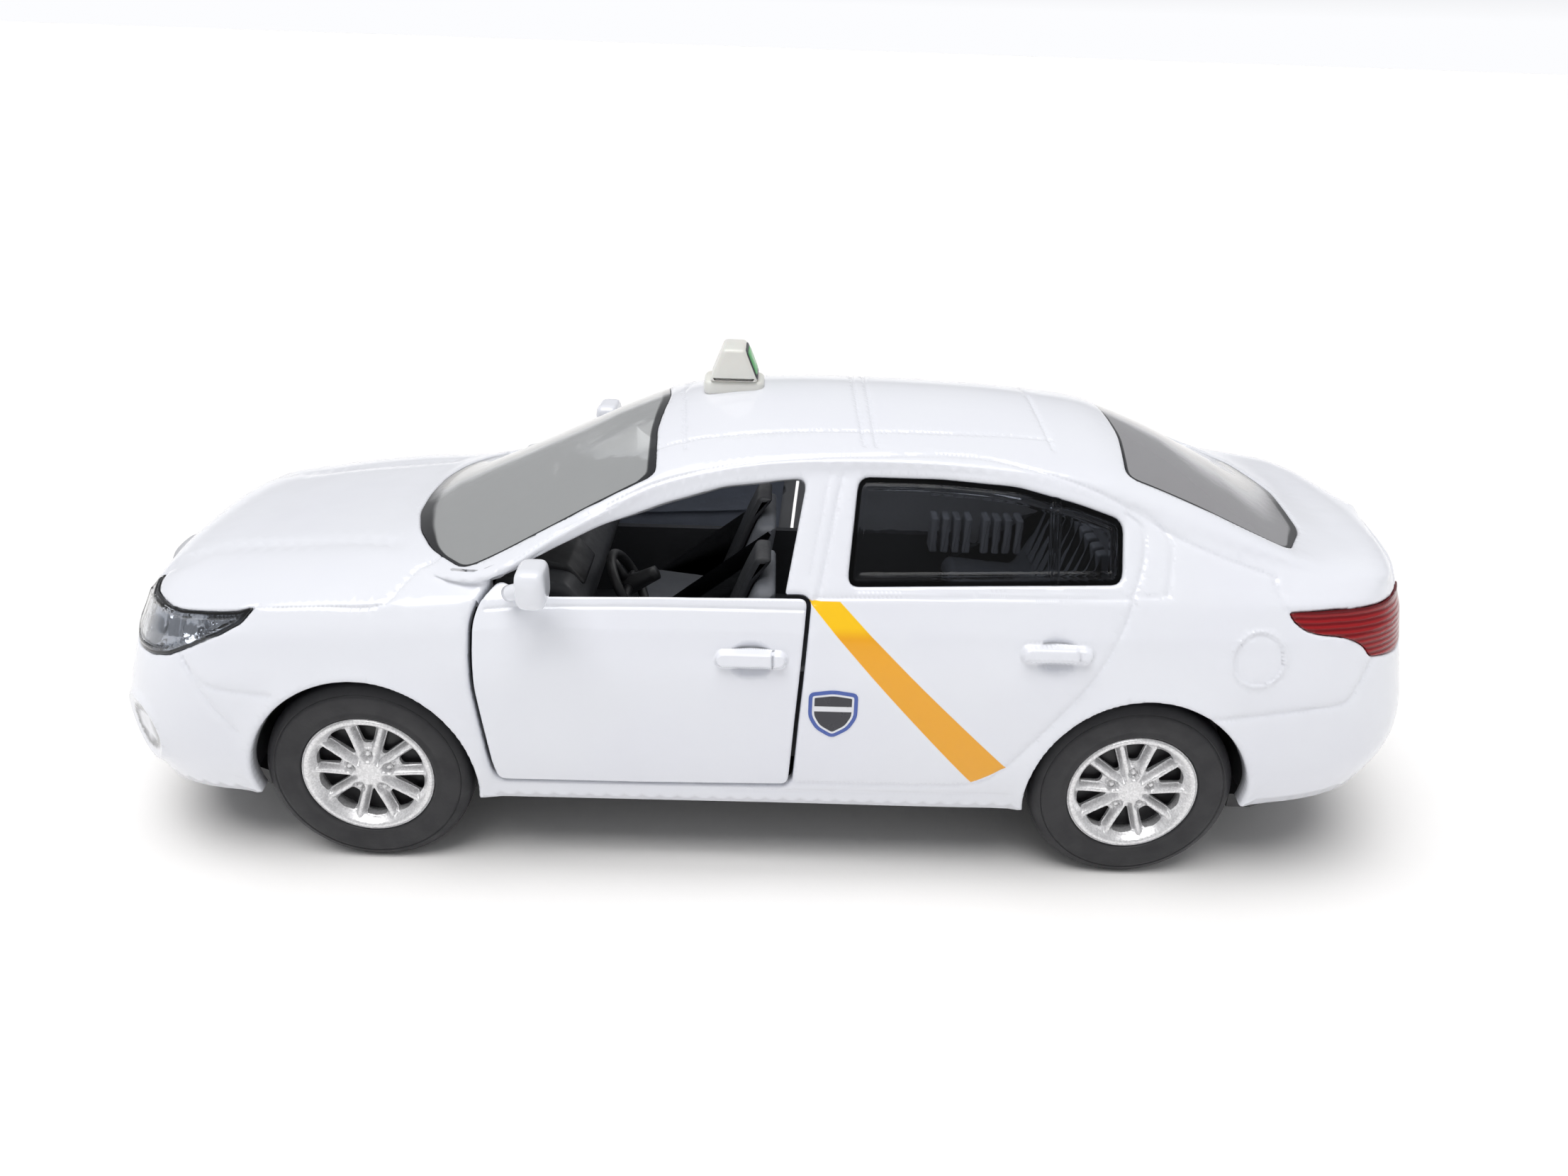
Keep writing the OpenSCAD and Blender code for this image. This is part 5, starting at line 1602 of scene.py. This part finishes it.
def cabin_light(name, place, power):
    """A small soft light under the roof."""
    lamp = bpy.data.lights.new(name, "AREA")
    lamp.energy = power
    lamp.shape = "RECTANGLE"
    lamp.size, lamp.size_y = 0.018, 0.014
    light = bpy.data.objects.new(name, lamp)
    light.location = place
    bpy.context.scene.collection.objects.link(light)
    return light


cabin_light("cabin_front", (0.004, 0.002, 0.0375), 0.0012)
cabin_light("cabin_rear", (-0.022, 0.002, 0.0375), 0.0009)

world = bpy.data.worlds.new("studio")
world.use_nodes = True
background = world.node_tree.nodes["Background"]
background.inputs["Color"].default_value = (0.975, 0.98, 1.0, 1)
sky = world.node_tree.nodes.new("ShaderNodeTexCoord")
split = world.node_tree.nodes.new("ShaderNodeSeparateXYZ")
fade = world.node_tree.nodes.new("ShaderNodeMapRange")
world.node_tree.links.new(sky.outputs["Generated"], split.inputs[0])
world.node_tree.links.new(split.outputs["Z"], fade.inputs[0])
for socket, value in zip(fade.inputs[1:5], (0.03, 0.14, 1.0, 0.40)):
    socket.default_value = value
world.node_tree.links.new(fade.outputs[0], background.inputs["Strength"])
scene = bpy.context.scene
scene.world = world
scene.view_settings.view_transform = "Standard"
scene.view_settings.look = "None"

CAMERA_AT = Vector((0.0005156, 0.110936, 0.071736))
YAW, PITCH, ROLL = -0.018055, 0.441916, 0.034258
look = Vector((math.sin(YAW) * math.cos(PITCH), -math.cos(YAW) * math.cos(PITCH),
               -math.sin(PITCH)))
right = look.cross(Vector((0, 0, 1))).normalized()
up = right.cross(look)
tipped_right = right * math.cos(ROLL) + up * math.sin(ROLL)
tipped_up = up * math.cos(ROLL) - right * math.sin(ROLL)
lens = bpy.data.cameras.new("camera")
lens.sensor_fit = "HORIZONTAL"
lens.sensor_width = 36
lens.lens = 26.318
lens.clip_start = 0.002
camera = bpy.data.objects.new("camera", lens)
camera.matrix_world = Matrix((
    (tipped_right.x, tipped_up.x, -look.x, CAMERA_AT.x),
    (tipped_right.y, tipped_up.y, -look.y, CAMERA_AT.y),
    (tipped_right.z, tipped_up.z, -look.z, CAMERA_AT.z),
    (0, 0, 0, 1)))
scene.collection.objects.link(camera)
scene.camera = camera
